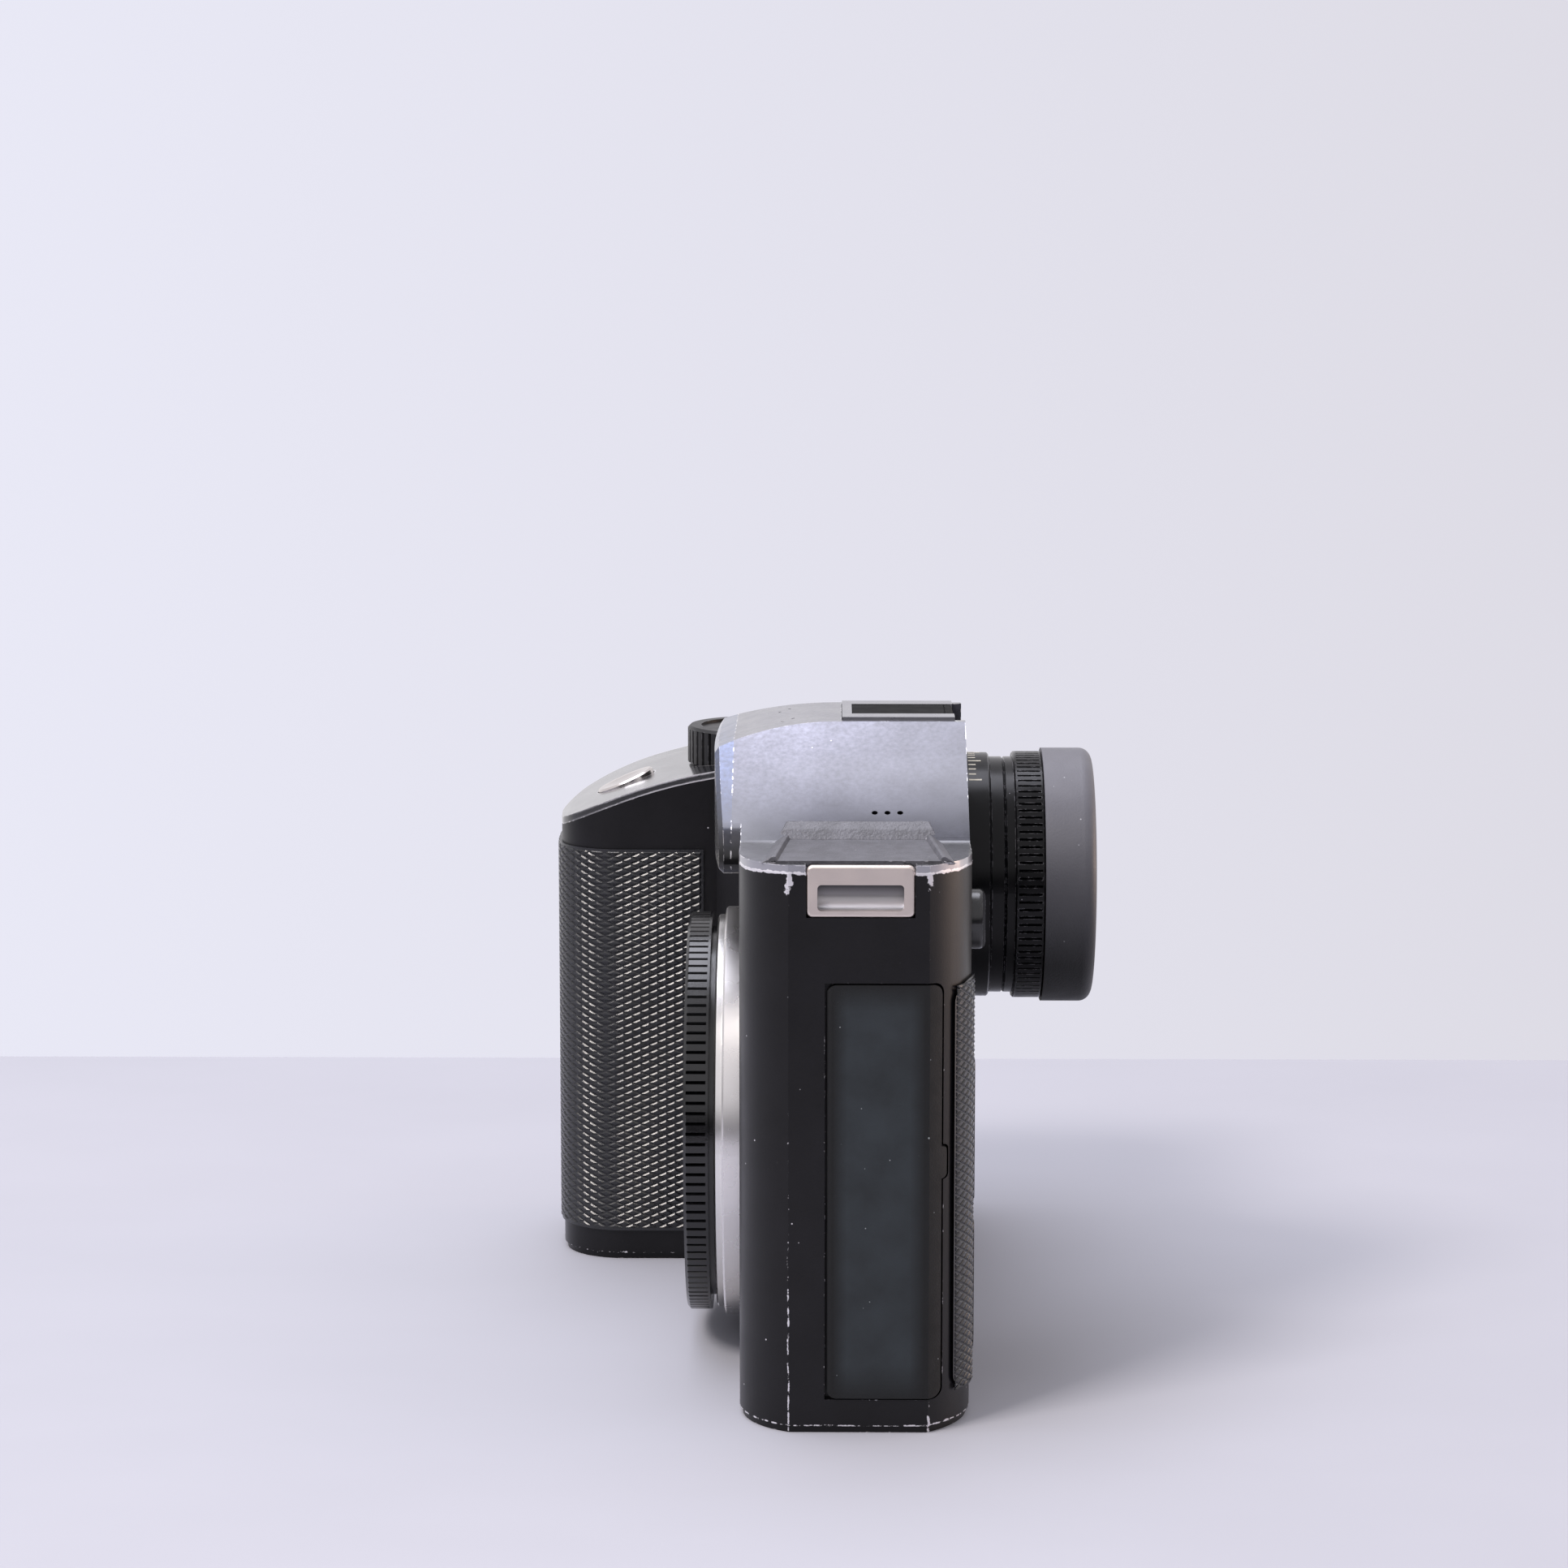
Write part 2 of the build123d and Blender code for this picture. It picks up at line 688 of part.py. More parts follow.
STICK_X = THUMB_LEFT_X - STICK_SIDE
BASE_SCREW_PLACES = [
    (LEFT_X - BASE_SCREW_INSET, BASE_SCREW_SIDE_Y),
    (BASE_SCREW_CORNER_X, REAR_Y - BASE_SCREW_CORNER_IN),
    (BASE_SCREW_REAR_X, REAR_Y - BASE_SCREW_INSET),
    (BASE_SCREW_FRONT_X, FRONT_Y + BASE_SCREW_INSET),
    (RIGHT_X + BASE_SCREW_INSET, BASE_SCREW_RIGHT_YS[0]),
    (RIGHT_X + BASE_SCREW_INSET, BASE_SCREW_RIGHT_YS[1]),
]
LOCK_X, LOCK_DZ = at_angle(LOCK_PIN_ORBIT, LOCK_PIN_ANGLE)
RELEASE_X, RELEASE_DZ = at_angle(RELEASE_ORBIT, LOCK_PIN_ANGLE)
LOCK_Z = MOUNT_Z + LOCK_DZ
RELEASE_Z = MOUNT_Z + RELEASE_DZ
MOUNT_SCREW_PLACES = [at_angle(MOUNT_SCREW_ORBIT, MOUNT_SCREW_FIRST + 360 / MOUNT_SCREWS * turn)
                      for turn in range(MOUNT_SCREWS)]
SPLIT_Z = DECK_Z - LID_T
LID_UNDER_Z = SPLIT_Z - LID_PLUG
INNER_FRONT_Y = FRONT_Y + WALL
INNER_REAR_Y = REAR_Y - WALL
SHOE_SLOT_TOP_Z = SHOE_TOP_Z - SHOE_LIP_T
SHOE_FLOOR_Z = SHOE_SLOT_TOP_Z - SHOE_SLOT_H
SHOE_BOTTOM_Z = SHOE_FLOOR_Z - SHOE_PLATE_T
WHEEL_Y = REAR_Y + WHEEL_PROUD - WHEEL_R
WHEEL_BOTTOM_Z = WHEEL_TOP_Z - WHEEL_T
SENSOR_FACE_Y = FLANGE_Y + FLANGE_TO_SENSOR
BAFFLE_BACK_Y = INNER_FRONT_Y + BAFFLE_T
SHUTTER_BACK_Y = BAFFLE_BACK_Y + SHUTTER_UNIT_T
SENSOR_FRONT_Y = SENSOR_FACE_Y - FILTER_LIFT
CARRIER_Y = SENSOR_FACE_Y + SENSOR_T
PANEL_FRONT_Y = REAR_Y - PANEL_T
GLASS_BACK_Y = REAR_Y + MONITOR_PROUD
GLASS_FRONT_Y = GLASS_BACK_Y - MONITOR_GLASS_T
PORT_HINGE_X = LEFT_X + PORT_PROUD - PORT_T / 2
PORT_HINGE_Y = PORT_FRONT_Y + PORT_T / 2
CARD_HINGE_X = RIGHT_X + CARD_DOOR_T / 2
CARD_HINGE_Y = CARD_FRONT_Y + CARD_DOOR_T / 2
BASE_TOP_Z = BASE_T + BASE_PLUG
BAY_TOP_Z = BATTERY_TOP_Z + BATTERY_ROOM + BAY_WALL
LUG_THROAT_X = LEFT_X - LUG_BAR_T - LUG_THROAT
LUG_FRONT_Y = LUG_Y - LUG_W / 2
LUG_BACK_Y = LUG_Y + LUG_W / 2
MID_X = (LEFT_X + RIGHT_X) / 2
STICK_CAP_FRONT_Y = REAR_Y + STICK_LIFT
TOP_BUTTON_YS = [TOP_BUTTON_FRONT_Y, TOP_BUTTON_FRONT_Y + TOP_BUTTON_PITCH]


def slope_height(y):
    """Height of the arc over the grip, through the same three points as the deck's slope."""
    ya, za = SLOPE_SHOULDER_Y, DECK_Z - SLOPE_SHOULDER_DROP
    yb, zb = SLOPE_MID_Y, DECK_Z - SLOPE_MID_DROP
    yc, zc = GRIP_FRONT_Y + SLOPE_TOE_INSET, DECK_Z - SLOPE_TOE_DROP
    turn = 2 * (ya * (zb - zc) + yb * (zc - za) + yc * (za - zb))
    qa, qb, qc = ya * ya + za * za, yb * yb + zb * zb, yc * yc + zc * zc
    centre_y = (qa * (zb - zc) + qb * (zc - za) + qc * (za - zb)) / turn
    centre_z = (qa * (yc - yb) + qb * (ya - yc) + qc * (yb - ya)) / turn
    radius = math.hypot(ya - centre_y, za - centre_z)
    return centre_z + math.sqrt(radius * radius - (y - centre_y) ** 2)


SHUTTER_Z = slope_height(SHUTTER_Y)
SHUTTER_SEAT = Pos(SHUTTER_X, SHUTTER_Y, SHUTTER_Z) * Rot(SHUTTER_TILT, 0, 0)


def port_outline(grow=0.0):
    """Port door seen from the side, in Y and Z."""
    width = PORT_BACK_Y - PORT_FRONT_Y + 2 * grow
    height = PORT_TOP_Z - PORT_BOTTOM_Z + 2 * grow
    centre = Pos((PORT_FRONT_Y + PORT_BACK_Y) / 2, (PORT_TOP_Z + PORT_BOTTOM_Z) / 2)
    return centre * RectangleRounded(width, height, PORT_CORNER_R)


def port_tab(grow=0.0):
    """Fingernail tab standing out from the port door's rear edge."""
    root = PORT_TAB_W + PORT_CORNER_R
    centre = Pos(PORT_BACK_Y + PORT_TAB_W - root / 2, PORT_TAB_Z)
    return centre * RectangleRounded(root + 2 * grow, PORT_TAB_H + 2 * grow, PORT_TAB_W)


def card_outline(grow=0.0):
    """Card door seen from the side, in Y and Z."""
    width = CARD_BACK_Y - CARD_FRONT_Y + 2 * grow
    height = CARD_TOP_Z - CARD_BOTTOM_Z + 2 * grow
    centre = Pos((CARD_FRONT_Y + CARD_BACK_Y) / 2, (CARD_TOP_Z + CARD_BOTTOM_Z) / 2)
    return centre * RectangleRounded(width, height, CARD_CORNER_R)


def panel_outline(inset=0.0):
    """Rear panel, in X and Z, notched round the eyepiece."""
    width = PANEL_LEFT_X - PANEL_RIGHT_X - 2 * inset
    height = PANEL_TOP_Z - PANEL_BOTTOM_Z - 2 * inset
    centre = Pos((PANEL_LEFT_X + PANEL_RIGHT_X) / 2, (PANEL_TOP_Z + PANEL_BOTTOM_Z) / 2)
    notch = Pos(0, EYE_Z) * Circle(EYE_SCALE_R + PANEL_NOTCH_GAP + inset)
    return centre * RectangleRounded(width, height, PANEL_CORNER_R) - notch


def monitor_outline(grow=0.0):
    """Monitor glass, in X and Z."""
    glass = RectangleRounded(MONITOR_W + 2 * grow, MONITOR_H + 2 * grow, MONITOR_CORNER_R)
    return Pos(MONITOR_X, MONITOR_Z) * glass


def battery_outline(inset=0.0):
    """Plan of the battery bay: the inside of the grip, cut off at the back."""
    cut = Pos(GRIP_BOW_X, BAY_BACK_Y - inset - WALL_REACH / 2) * Rectangle(2 * WALL_REACH, WALL_REACH)
    return housing_outline(WALL + inset) & cut


def pad_outline(grow=0.0, side_grow=0.0):
    """Antenna window on the deck, in plan, wider towards the side of the camera."""
    left = PAD_LEFT_X + side_grow
    right = PAD_RIGHT_X - grow
    wide = PAD_HALF_WIDE + grow
    narrow = PAD_HALF_NARROW + grow
    return Polygon((left, PAD_Y - wide), (left, PAD_Y + wide), (right, PAD_Y + narrow),
                   (right, PAD_Y - narrow), align=None)


def long_button_places():
    """Centre X, centre Z and height of each long button."""
    places = []
    for side in (1, -1):
        x = MONITOR_X + side * LONG_BUTTON_OFFSET
        places.append((x, LONG_BUTTON_UPPER_Z, LONG_BUTTON_UPPER_H))
        places.append((x, LONG_BUTTON_LOWER_Z, LONG_BUTTON_LOWER_H))
    return places


def strap_lug():
    """Left strap lug: a steel block with a slot that runs up behind its front bar."""
    middle = Pos(LUG_Y, (LUG_BOTTOM_Z + LUG_TOP_Z) / 2)
    plate = middle * RectangleRounded(LUG_W, LUG_TOP_Z - LUG_BOTTOM_Z, LUG_CORNER_R)
    lug = rail(plate, LEFT_X - LUG_DEPTH, LEFT_X)
    under_lid = span(LEFT_X - LUG_DEPTH, LUG_THROAT_X + LUG_SHADOW, LUG_FRONT_Y, LUG_BACK_Y,
                     LID_UNDER_Z - SEAT_GAP, LUG_TOP_Z)
    y0 = LUG_Y - LUG_SLOT_W / 2
    y1 = LUG_Y + LUG_SLOT_W / 2
    mouth_z = (LUG_SLOT_BOTTOM_Z + LUG_SLOT_TOP_Z) / 2
    mouth = RectangleRounded(LUG_SLOT_W, LUG_SLOT_TOP_Z - LUG_SLOT_BOTTOM_Z, LUG_SLOT_CORNER_R)
    slot = rail(Pos(LUG_Y, mouth_z) * mouth, LUG_THROAT_X, LEFT_X)
    heel = span(LUG_THROAT_X, LUG_THROAT_X + LUG_SCOOP_R, y0, y1, LUG_SLOT_BOTTOM_Z,
                LUG_SLOT_BOTTOM_Z + LUG_SCOOP_R)
    heel -= disc(LUG_SCOOP_R, y0, y1, LUG_THROAT_X + LUG_SCOOP_R, LUG_SLOT_BOTTOM_Z + LUG_SCOOP_R)
    throat = span(LUG_THROAT_X, LEFT_X - LUG_BAR_T, y0, y1, mouth_z, LUG_TOP_Z)
    lug = lug - under_lid - slot - throat + heel
    top_edges = lug.edges().filter_by(Axis.Y).sort_by(Axis.Z).group_by(Axis.Z)[-1]
    return fillet(top_edges.sort_by(Axis.X)[-1], LUG_BAR_ROUND)


def other_side(shape):
    """The same piece at the camera's right side."""
    return mirror(shape, Plane.YZ.offset(MID_X))


def strap_lugs():
    """The two strap lugs, one at each side."""
    return Compound([strap_lug(), other_side(strap_lug())])


def screw():
    """Cross-head screw with the top of its head at the origin and its shank along +Z."""
    body = post(SCREW_HEAD_R, 0, SCREW_HEAD_T) + post(SCREW_SHANK_R, SCREW_HEAD_T, SCREW_LENGTH)
    cross = Rectangle(SCREW_CROSS_L, SCREW_CROSS_W) + Rectangle(SCREW_CROSS_W, SCREW_CROSS_L)
    return body - tier(cross, 0, SCREW_CROSS_DEEP)


def screws():
    """The screws of the base plate and of the bayonet ring, all of one kind."""
    in_base = [Pos(x, y, 0) * screw() for x, y in BASE_SCREW_PLACES]
    in_mount = [Pos(x, FLANGE_Y, MOUNT_Z + z) * Rot(-90, 0, 0) * screw() for x, z in MOUNT_SCREW_PLACES]
    return Compound(in_base + in_mount)


def screw_way(depth):
    """Counterbore and clearance hole for one screw, through a plate of the given depth."""
    return post(SCREW_HEAD_R + SCREW_GAP, 0, SCREW_HEAD_T) + post(SCREW_SHANK_R + SCREW_GAP, 0, depth)


def body_shell():
    """Milled shell: walls all round, open at the top, the base and the rear window."""
    shell = tier(housing_outline(), BASE_T, DECK_Z) & under_deck(LID_T)
    shell -= tier(housing_outline(WALL), 0, DECK_Z)
    inside = tier(housing_outline(WALL - WALL_BITE), BASE_TOP_Z, BASE_BOSS_TOP_Z)
    shell += [post(BASE_BOSS_R, BASE_TOP_Z, BASE_BOSS_TOP_Z, x, y) & inside for x, y in BASE_SCREW_PLACES]
    shell += [disc(POST_R, INNER_FRONT_Y - WALL_BITE, BOARD_Y, x, z) for x, z in BOARD_POSTS]
    shell -= [post(SCREW_SHANK_R, 0, SCREW_LENGTH + SCREW_GAP, x, y) for x, y in BASE_SCREW_PLACES]
    shell -= shell_front_holes()
    shell -= shell_rear_holes()
    shell -= port_recess() + port_way()
    shell -= card_recess()
    lug_pocket = span(LEFT_X - LUG_DEPTH, LEFT_X + PAST, LUG_FRONT_Y, LUG_BACK_Y, LUG_BOTTOM_Z, DECK_Z)
    shell -= [lug_pocket, other_side(lug_pocket)]
    return shell


def shell_front_holes():
    """Lens opening, screw holes, release button hole and lock pin hole in the front wall."""
    front = FRONT_Y - PAST
    holes = disc(MOUNT_SPIGOT_R + SEAT_GAP, front, INNER_FRONT_Y, 0, MOUNT_Z)
    holes += disc(RELEASE_R + BUTTON_GAP, front, INNER_FRONT_Y, RELEASE_X, RELEASE_Z)
    holes += disc(LOCK_PIN_R + PIN_GAP, front, INNER_FRONT_Y, LOCK_X, LOCK_Z)
    for x, z in MOUNT_SCREW_PLACES:
        holes += disc(SCREW_SHANK_R, front, INNER_FRONT_Y, x, MOUNT_Z + z)
    return holes


def shell_rear_holes():
    """Rear window with its rebate, and the holes for the eyepiece and the rear controls."""
    back = REAR_Y + PAST
    inner = INNER_REAR_Y - WALL
    holes = slab(panel_outline(), PANEL_FRONT_Y, back) + slab(panel_outline(PANEL_LEDGE), inner, back)
    holes += disc(EYE_HOLE_R, inner, back, 0, EYE_Z)
    holes += disc(SWITCH_SHAFT_R + SHAFT_GAP, inner, back, SWITCH_X, SWITCH_Z)
    holes += disc(FINDER_BUTTON_R + BUTTON_GAP, inner, back, FINDER_BUTTON_X, FINDER_BUTTON_Z)
    holes += post(WHEEL_R + WHEEL_SLOT_GAP, WHEEL_BOTTOM_Z - WHEEL_SLOT_GAP, WHEEL_TOP_Z + WHEEL_SLOT_GAP,
                  WHEEL_X, WHEEL_Y)
    return holes


def hinge_strip(front_y, hinge_y, bottom_z, top_z):
    """Square-cornered end of a door's pocket, where the ends of its rolling edge turn."""
    height = top_z - bottom_z
    depth = hinge_y - front_y
    return Pos(front_y + depth / 2, bottom_z + height / 2) * Rectangle(depth, height)


def port_recess():
    """Shallow pocket that the port door lies in, following the crease of the side."""
    depth = PORT_T - PORT_PROUD + DOOR_SEAT
    skin = tier(housing_outline(-WALL) - housing_outline(depth), 0, DECK_Z)
    outline = port_outline(PORT_GAP) + port_tab(PORT_GAP)
    outline += hinge_strip(PORT_FRONT_Y - PORT_GAP, PORT_HINGE_Y, PORT_BOTTOM_Z - PORT_GAP,
                           PORT_TOP_Z + PORT_GAP)
    return skin & rail(outline, PORT_HINGE_X - WALL_REACH / 4, LEFT_X + WALL)


def port_way():
    """Opening through the side wall behind the port door."""
    return rail(port_outline(-PORT_RIM), LEFT_X - 3 * WALL, LEFT_X + PAST)


def card_recess():
    """Pocket, opening and hinge pin hole of the card door."""
    outline = card_outline(CARD_GAP)
    outline += hinge_strip(CARD_FRONT_Y - CARD_GAP, CARD_HINGE_Y, CARD_BOTTOM_Z - CARD_GAP,
                           CARD_TOP_Z + CARD_GAP)
    recess = rail(outline, RIGHT_X - PAST, RIGHT_X + CARD_DOOR_T + DOOR_SEAT)
    way = rail(card_outline(-CARD_HOLE_MARGIN), RIGHT_X - PAST, RIGHT_X + 2 * WALL)
    return recess + way + card_door_pin()


def hump_block():
    """Outside of the finder hump, with the deeper step that carries the nose plate."""
    foot = hump_half(DECK_Z)
    flanks = Polygon((-foot, SPLIT_Z), (foot, SPLIT_Z), (foot, DECK_Z), (HUMP_TOP_HALF, HUMP_TOP_Z),
                     (-HUMP_TOP_HALF, HUMP_TOP_Z), (-foot, DECK_Z), align=None)
    step = slab(nose_outline(), HUMP_SEAM_Y, FRONT_Y) - tier(housing_outline(), 0, SPLIT_Z)
    return (slab(flanks, FRONT_Y, REAR_Y) + step) & under_hump_top()


def hump_cavity():
    """Room inside the hump for the electronic finder."""
    top_z = HUMP_TOP_Z - HUMP_ROOF
    top_half = hump_half(top_z) - HUMP_WALL
    low_z = top_z - (HUMP_CAVITY_HALF - top_half) / HUMP_SPREAD
    outline = Polygon((-HUMP_CAVITY_HALF, LID_UNDER_Z - PAST), (HUMP_CAVITY_HALF, LID_UNDER_Z - PAST),
                      (HUMP_CAVITY_HALF, low_z), (top_half, top_z), (-top_half, top_z),
                      (-HUMP_CAVITY_HALF, low_z), align=None)
    return slab(outline, INNER_FRONT_Y, INNER_REAR_Y)


def pad_frame():
    """Low raised frame round the antenna window."""
    foot = Pos(0, 0, DECK_Z - SEAT_GAP) * pad_outline(PAD_SKIRT)
    rim = Pos(0, 0, PAD_Z) * pad_outline(PAD_BORDER)
    return loft([foot, rim])


def pad_recess():
    """Recess for the antenna window, and the ramp where it cuts into the hump's flank."""
    recess = tier(pad_outline(), PAD_Z - PAD_T, HUMP_TOP_Z)
    ramp_z = PAD_Z + PAD_RAMP_RISE
    ramp = Polygon((PAD_RIGHT_X, PAD_Z), (PAD_RIGHT_X - PAD_RAMP_RUN, ramp_z),
                   (PAD_RIGHT_X + PAD_SKIRT, ramp_z), align=None)
    reach = PAD_HALF_NARROW + PAD_RAMP_RUN
    return recess + slab(ramp, PAD_Y - reach, PAD_Y + reach)


def top_cover():
    """Lid of the housing with the finder hump on it."""
    deck = tier(housing_outline(), 0, DECK_Z + PAST) & (under_deck() - under_deck(LID_T))
    plug = tier(housing_outline(WALL + SEAT_GAP), 0, DECK_Z + PAST)
    plug &= under_deck(LID_T) - under_deck(LID_T + LID_PLUG)
    cover = deck + plug + hump_block() + pad_frame() + shutter_guide()
    cover -= hump_cavity()
    cover -= pad_recess()
    cover -= span(-SHOE_HALF - SEAT_GAP, SHOE_HALF + SEAT_GAP, SHOE_FRONT_Y - SEAT_GAP, REAR_Y + PAST,
                  SHOE_BOTTOM_Z, SHOE_TOP_Z)
    cover -= disc(EYE_HOLE_R, INNER_REAR_Y - PAST, REAR_Y + PAST, 0, EYE_Z)
    cover -= post(DIAL_R + DIAL_POCKET_GAP, DIAL_BOTTOM_Z - DIAL_FLOOR_GAP, HUMP_TOP_Z, DIAL_X, DIAL_Y)
    cover -= post(DIAL_SHAFT_R + SHAFT_GAP, LID_UNDER_Z - PAST, DECK_Z, DIAL_X, DIAL_Y)
    cover -= shutter_way()
    cover -= top_window_way()
    for y in TOP_BUTTON_YS:
        cover -= post(TOP_BUTTON_R + BUTTON_GAP, LID_UNDER_Z - PAST, HUMP_TOP_Z, TOP_BUTTON_X, y)
    lug_notch = span(LUG_THROAT_X, LEFT_X + PAST, LUG_FRONT_Y - LUG_SHADOW, LUG_BACK_Y + LUG_SHADOW,
                     LID_UNDER_Z - PAST, DECK_Z + 2 * PAST)
    cover -= [lug_notch, other_side(lug_notch)]
    cover -= sound_holes()
    return cover


def shutter_guide():
    """Boss under the slope of the lid that guides the shutter button."""
    boss = SHUTTER_SEAT * post(SHUTTER_GUIDE_R, -SHUTTER_GUIDE, SHUTTER_GUIDE)
    return boss & under_deck()


def shutter_way():
    """Pocket for the shutter button's cap and bore for its stem."""
    floor = SHUTTER_PROUD - SHUTTER_T - SHUTTER_TRAVEL - SEAT_GAP
    cap = post(SHUTTER_R + BUTTON_GAP, floor, SHUTTER_GUIDE)
    return SHUTTER_SEAT * (cap + post(SHUTTER_STEM_R + SHAFT_GAP, -SHUTTER_GUIDE - PAST, 0))


def top_window_way():
    """Rebate and opening for the top display's window."""
    centre = Pos(TOP_WINDOW_X, TOP_WINDOW_Y)
    rebate = centre * RectangleRounded(TOP_WINDOW_W, TOP_WINDOW_D, TOP_WINDOW_CORNER_R)
    opening = centre * Rectangle(TOP_WINDOW_W - 2 * TOP_WINDOW_LEDGE, TOP_WINDOW_D - 2 * TOP_WINDOW_LEDGE)
    return tier(rebate, DECK_Z - TOP_WINDOW_T, HUMP_TOP_Z) + tier(opening, LID_UNDER_Z - PAST, DECK_Z)


def sound_holes():
    """Four microphone holes in the roof and three speaker holes in the left flank."""
    holes = [post(MIC_R, HUMP_TOP_Z - MIC_DEPTH - HUMP_SEAM_FALL, HUMP_TOP_Z, x, y) for x, y in MIC_PLACES]
    lean = math.degrees(math.atan(HUMP_SPREAD))
    surface_z = HUMP_TOP_Z - (SPEAKER_X - HUMP_TOP_HALF) / HUMP_SPREAD
    for y in SPEAKER_YS:
        seat = Pos(SPEAKER_X, y, surface_z) * Rot(0, 90 - lean, 0)
        holes.append(seat * post(SPEAKER_R, -SPEAKER_DEPTH, SPEAKER_DEPTH))
    return holes


def nose_plate():
    """Front plate of the hump, bowed in plan, hollow behind."""
    edge_y = NOSE_FRONT_Y + NOSE_FRONT_FALL
    bow = ThreePointArc((-NOSE_HALF, edge_y), (0, NOSE_FRONT_Y), (NOSE_HALF, edge_y))
    sides = Polyline((NOSE_HALF, edge_y), (NOSE_HALF, HUMP_SEAM_Y), (-NOSE_HALF, HUMP_SEAM_Y),
                     (-NOSE_HALF, edge_y))
    plan = make_face(bow + sides)
    plate = slab(nose_outline(), NOSE_FRONT_Y, HUMP_SEAM_Y) & tier(plan, NOSE_BOTTOM_Z, HUMP_TOP_Z)
    plate &= under_hump_top()
    front = plate.faces().sort_by(Axis.Y)[0]
    plate = chamfer(front.edges(), NOSE_CHAMFER)
    hollow = slab(nose_outline(NOSE_WALL), HUMP_SEAM_Y - NOSE_HOLLOW, HUMP_SEAM_Y) & under_hump_top(NOSE_WALL)
    return plate - hollow


def antenna_cover():
    """Plastic window over the antenna."""
    return tier(pad_outline(-SEAT_GAP), PAD_Z - PAD_T, PAD_Z)


def rear_panel():
    """Thin rear panel with the monitor opening and the holes for the rear controls."""
    back = REAR_Y + PAST
    panel = slab(panel_outline(SEAT_GAP), PANEL_FRONT_Y, REAR_Y)
    panel -= slab(monitor_outline(SEAT_GAP), GLASS_FRONT_Y, back)
    panel -= slab(monitor_outline(-MONITOR_EDGE), PANEL_FRONT_Y, back)
    for x, z, height in long_button_places():
        hole = RectangleRounded(LONG_BUTTON_W + 2 * BUTTON_GAP, height + 2 * BUTTON_GAP, LONG_BUTTON_W / 2)
        panel -= slab(Pos(x, z) * hole, PANEL_FRONT_Y, back)
    return panel - disc(STICK_HOLE_R, PANEL_FRONT_Y, back, STICK_X, STICK_Z)


def base_plate():
    """Base plate with its plug, the battery opening, the lever recess and the screw holes."""
    plate = tier(housing_outline(BASE_INSET), 0, BASE_T)
    plate += tier(housing_outline(WALL + SEAT_GAP), BASE_T, BASE_TOP_Z)
    rim = BAY_WALL + BATTERY_GAP - BATTERY_COVER_RIM
    plate -= tier(battery_outline(rim - SEAT_GAP), 0, BASE_T)
    plate -= tier(battery_outline(BAY_WALL), 0, BASE_TOP_Z)
    plate -= [Pos(x, y, 0) * screw_way(BASE_TOP_Z) for x, y in BASE_SCREW_PLACES]
    plate -= post(SOCKET_BUSH_R, 0, BASE_TOP_Z)
    return plate - lever_sweep() - post(LEVER_PIN_R + PIN_GAP, 0, BASE_TOP_Z, LEVER_X, LEVER_Y)


def lever_plan(turn=0.0, grow=0.0):
    """Battery release lever in plan, swung by an angle about its pivot."""
    arm = Pos(-LEVER_LENGTH / 2, 0) * Rectangle(LEVER_LENGTH, 2 * (LEVER_TIP_R + grow))
    tip = Pos(-LEVER_LENGTH, 0) * Circle(LEVER_TIP_R + grow)
    return Pos(LEVER_X, LEVER_Y) * Rot(0, 0, turn) * (Circle(LEVER_R + grow) + arm + tip)


def lever_sweep():
    """Recess in the base that leaves the lever room to swing."""
    reach = LEVER_LENGTH + LEVER_TIP_R + LEVER_GAP
    fan = sector(0, reach, 180 - LEVER_SWEEP / 2, LEVER_SWEEP)
    room = lever_plan(0, LEVER_GAP) + lever_plan(-LEVER_SWEEP, LEVER_GAP) + Pos(LEVER_X, LEVER_Y) * fan
    return tier(room, 0, BASE_T)


def battery_lever():
    """Lever that lets the battery drop, with its pivot pin."""
    plate = tier(lever_plan(), BASE_T - LEVER_T - LEVER_REST, BASE_T - LEVER_REST)
    return plate + post(LEVER_PIN_R, BASE_T - LEVER_T, BASE_TOP_Z, LEVER_X, LEVER_Y)


def covering(thickness, z0, z1):
    """Skin of one thickness all round the housing, to cut coverings from."""
    return tier(housing_outline(-thickness) - housing_outline(), z0, z1)


def grip_covering():
    """Embossed covering round the grip."""
    skin = covering(COVER_T, COVER_BOTTOM_Z, GRIP_COVER_TOP_Z)
    near = span(GRIP_BOW_X, 0, GRIP_FRONT_Y - PAST, GRIP_COVER_BACK_Y, 0, DECK_Z)
    far = span(RIGHT_X - PAST, GRIP_BOW_X, GRIP_FRONT_Y - PAST, GRIP_COVER_FAR_Y, 0, DECK_Z)
    return skin & (near + far)


def rear_covering():
    """Narrow covering on the rear left corner, with one rounded upper corner."""
    skin = covering(COVER_T, COVER_BOTTOM_Z, REAR_COVER_TOP_Z)
    depth = 2 * (REAR_Y + COVER_T - REAR_COVER_WRAP_Y)
    height = REAR_COVER_TOP_Z - COVER_BOTTOM_Z
    side = Pos(REAR_COVER_WRAP_Y + depth / 2, COVER_BOTTOM_Z + height / 2)
    patch = side * RectangleRounded(depth, height, REAR_COVER_CORNER_R)
    return skin & rail(patch, REAR_COVER_RIGHT_X, LEFT_X)


def thumb_covering():
    """Thicker covering under the thumb, wrapped round the rear right corner."""
    skin = covering(THUMB_T, COVER_BOTTOM_Z, THUMB_TOP_Z)
    return skin & span(RIGHT_X - WALL, THUMB_LEFT_X, THUMB_WRAP_Y, REAR_Y + WALL, 0, DECK_Z)


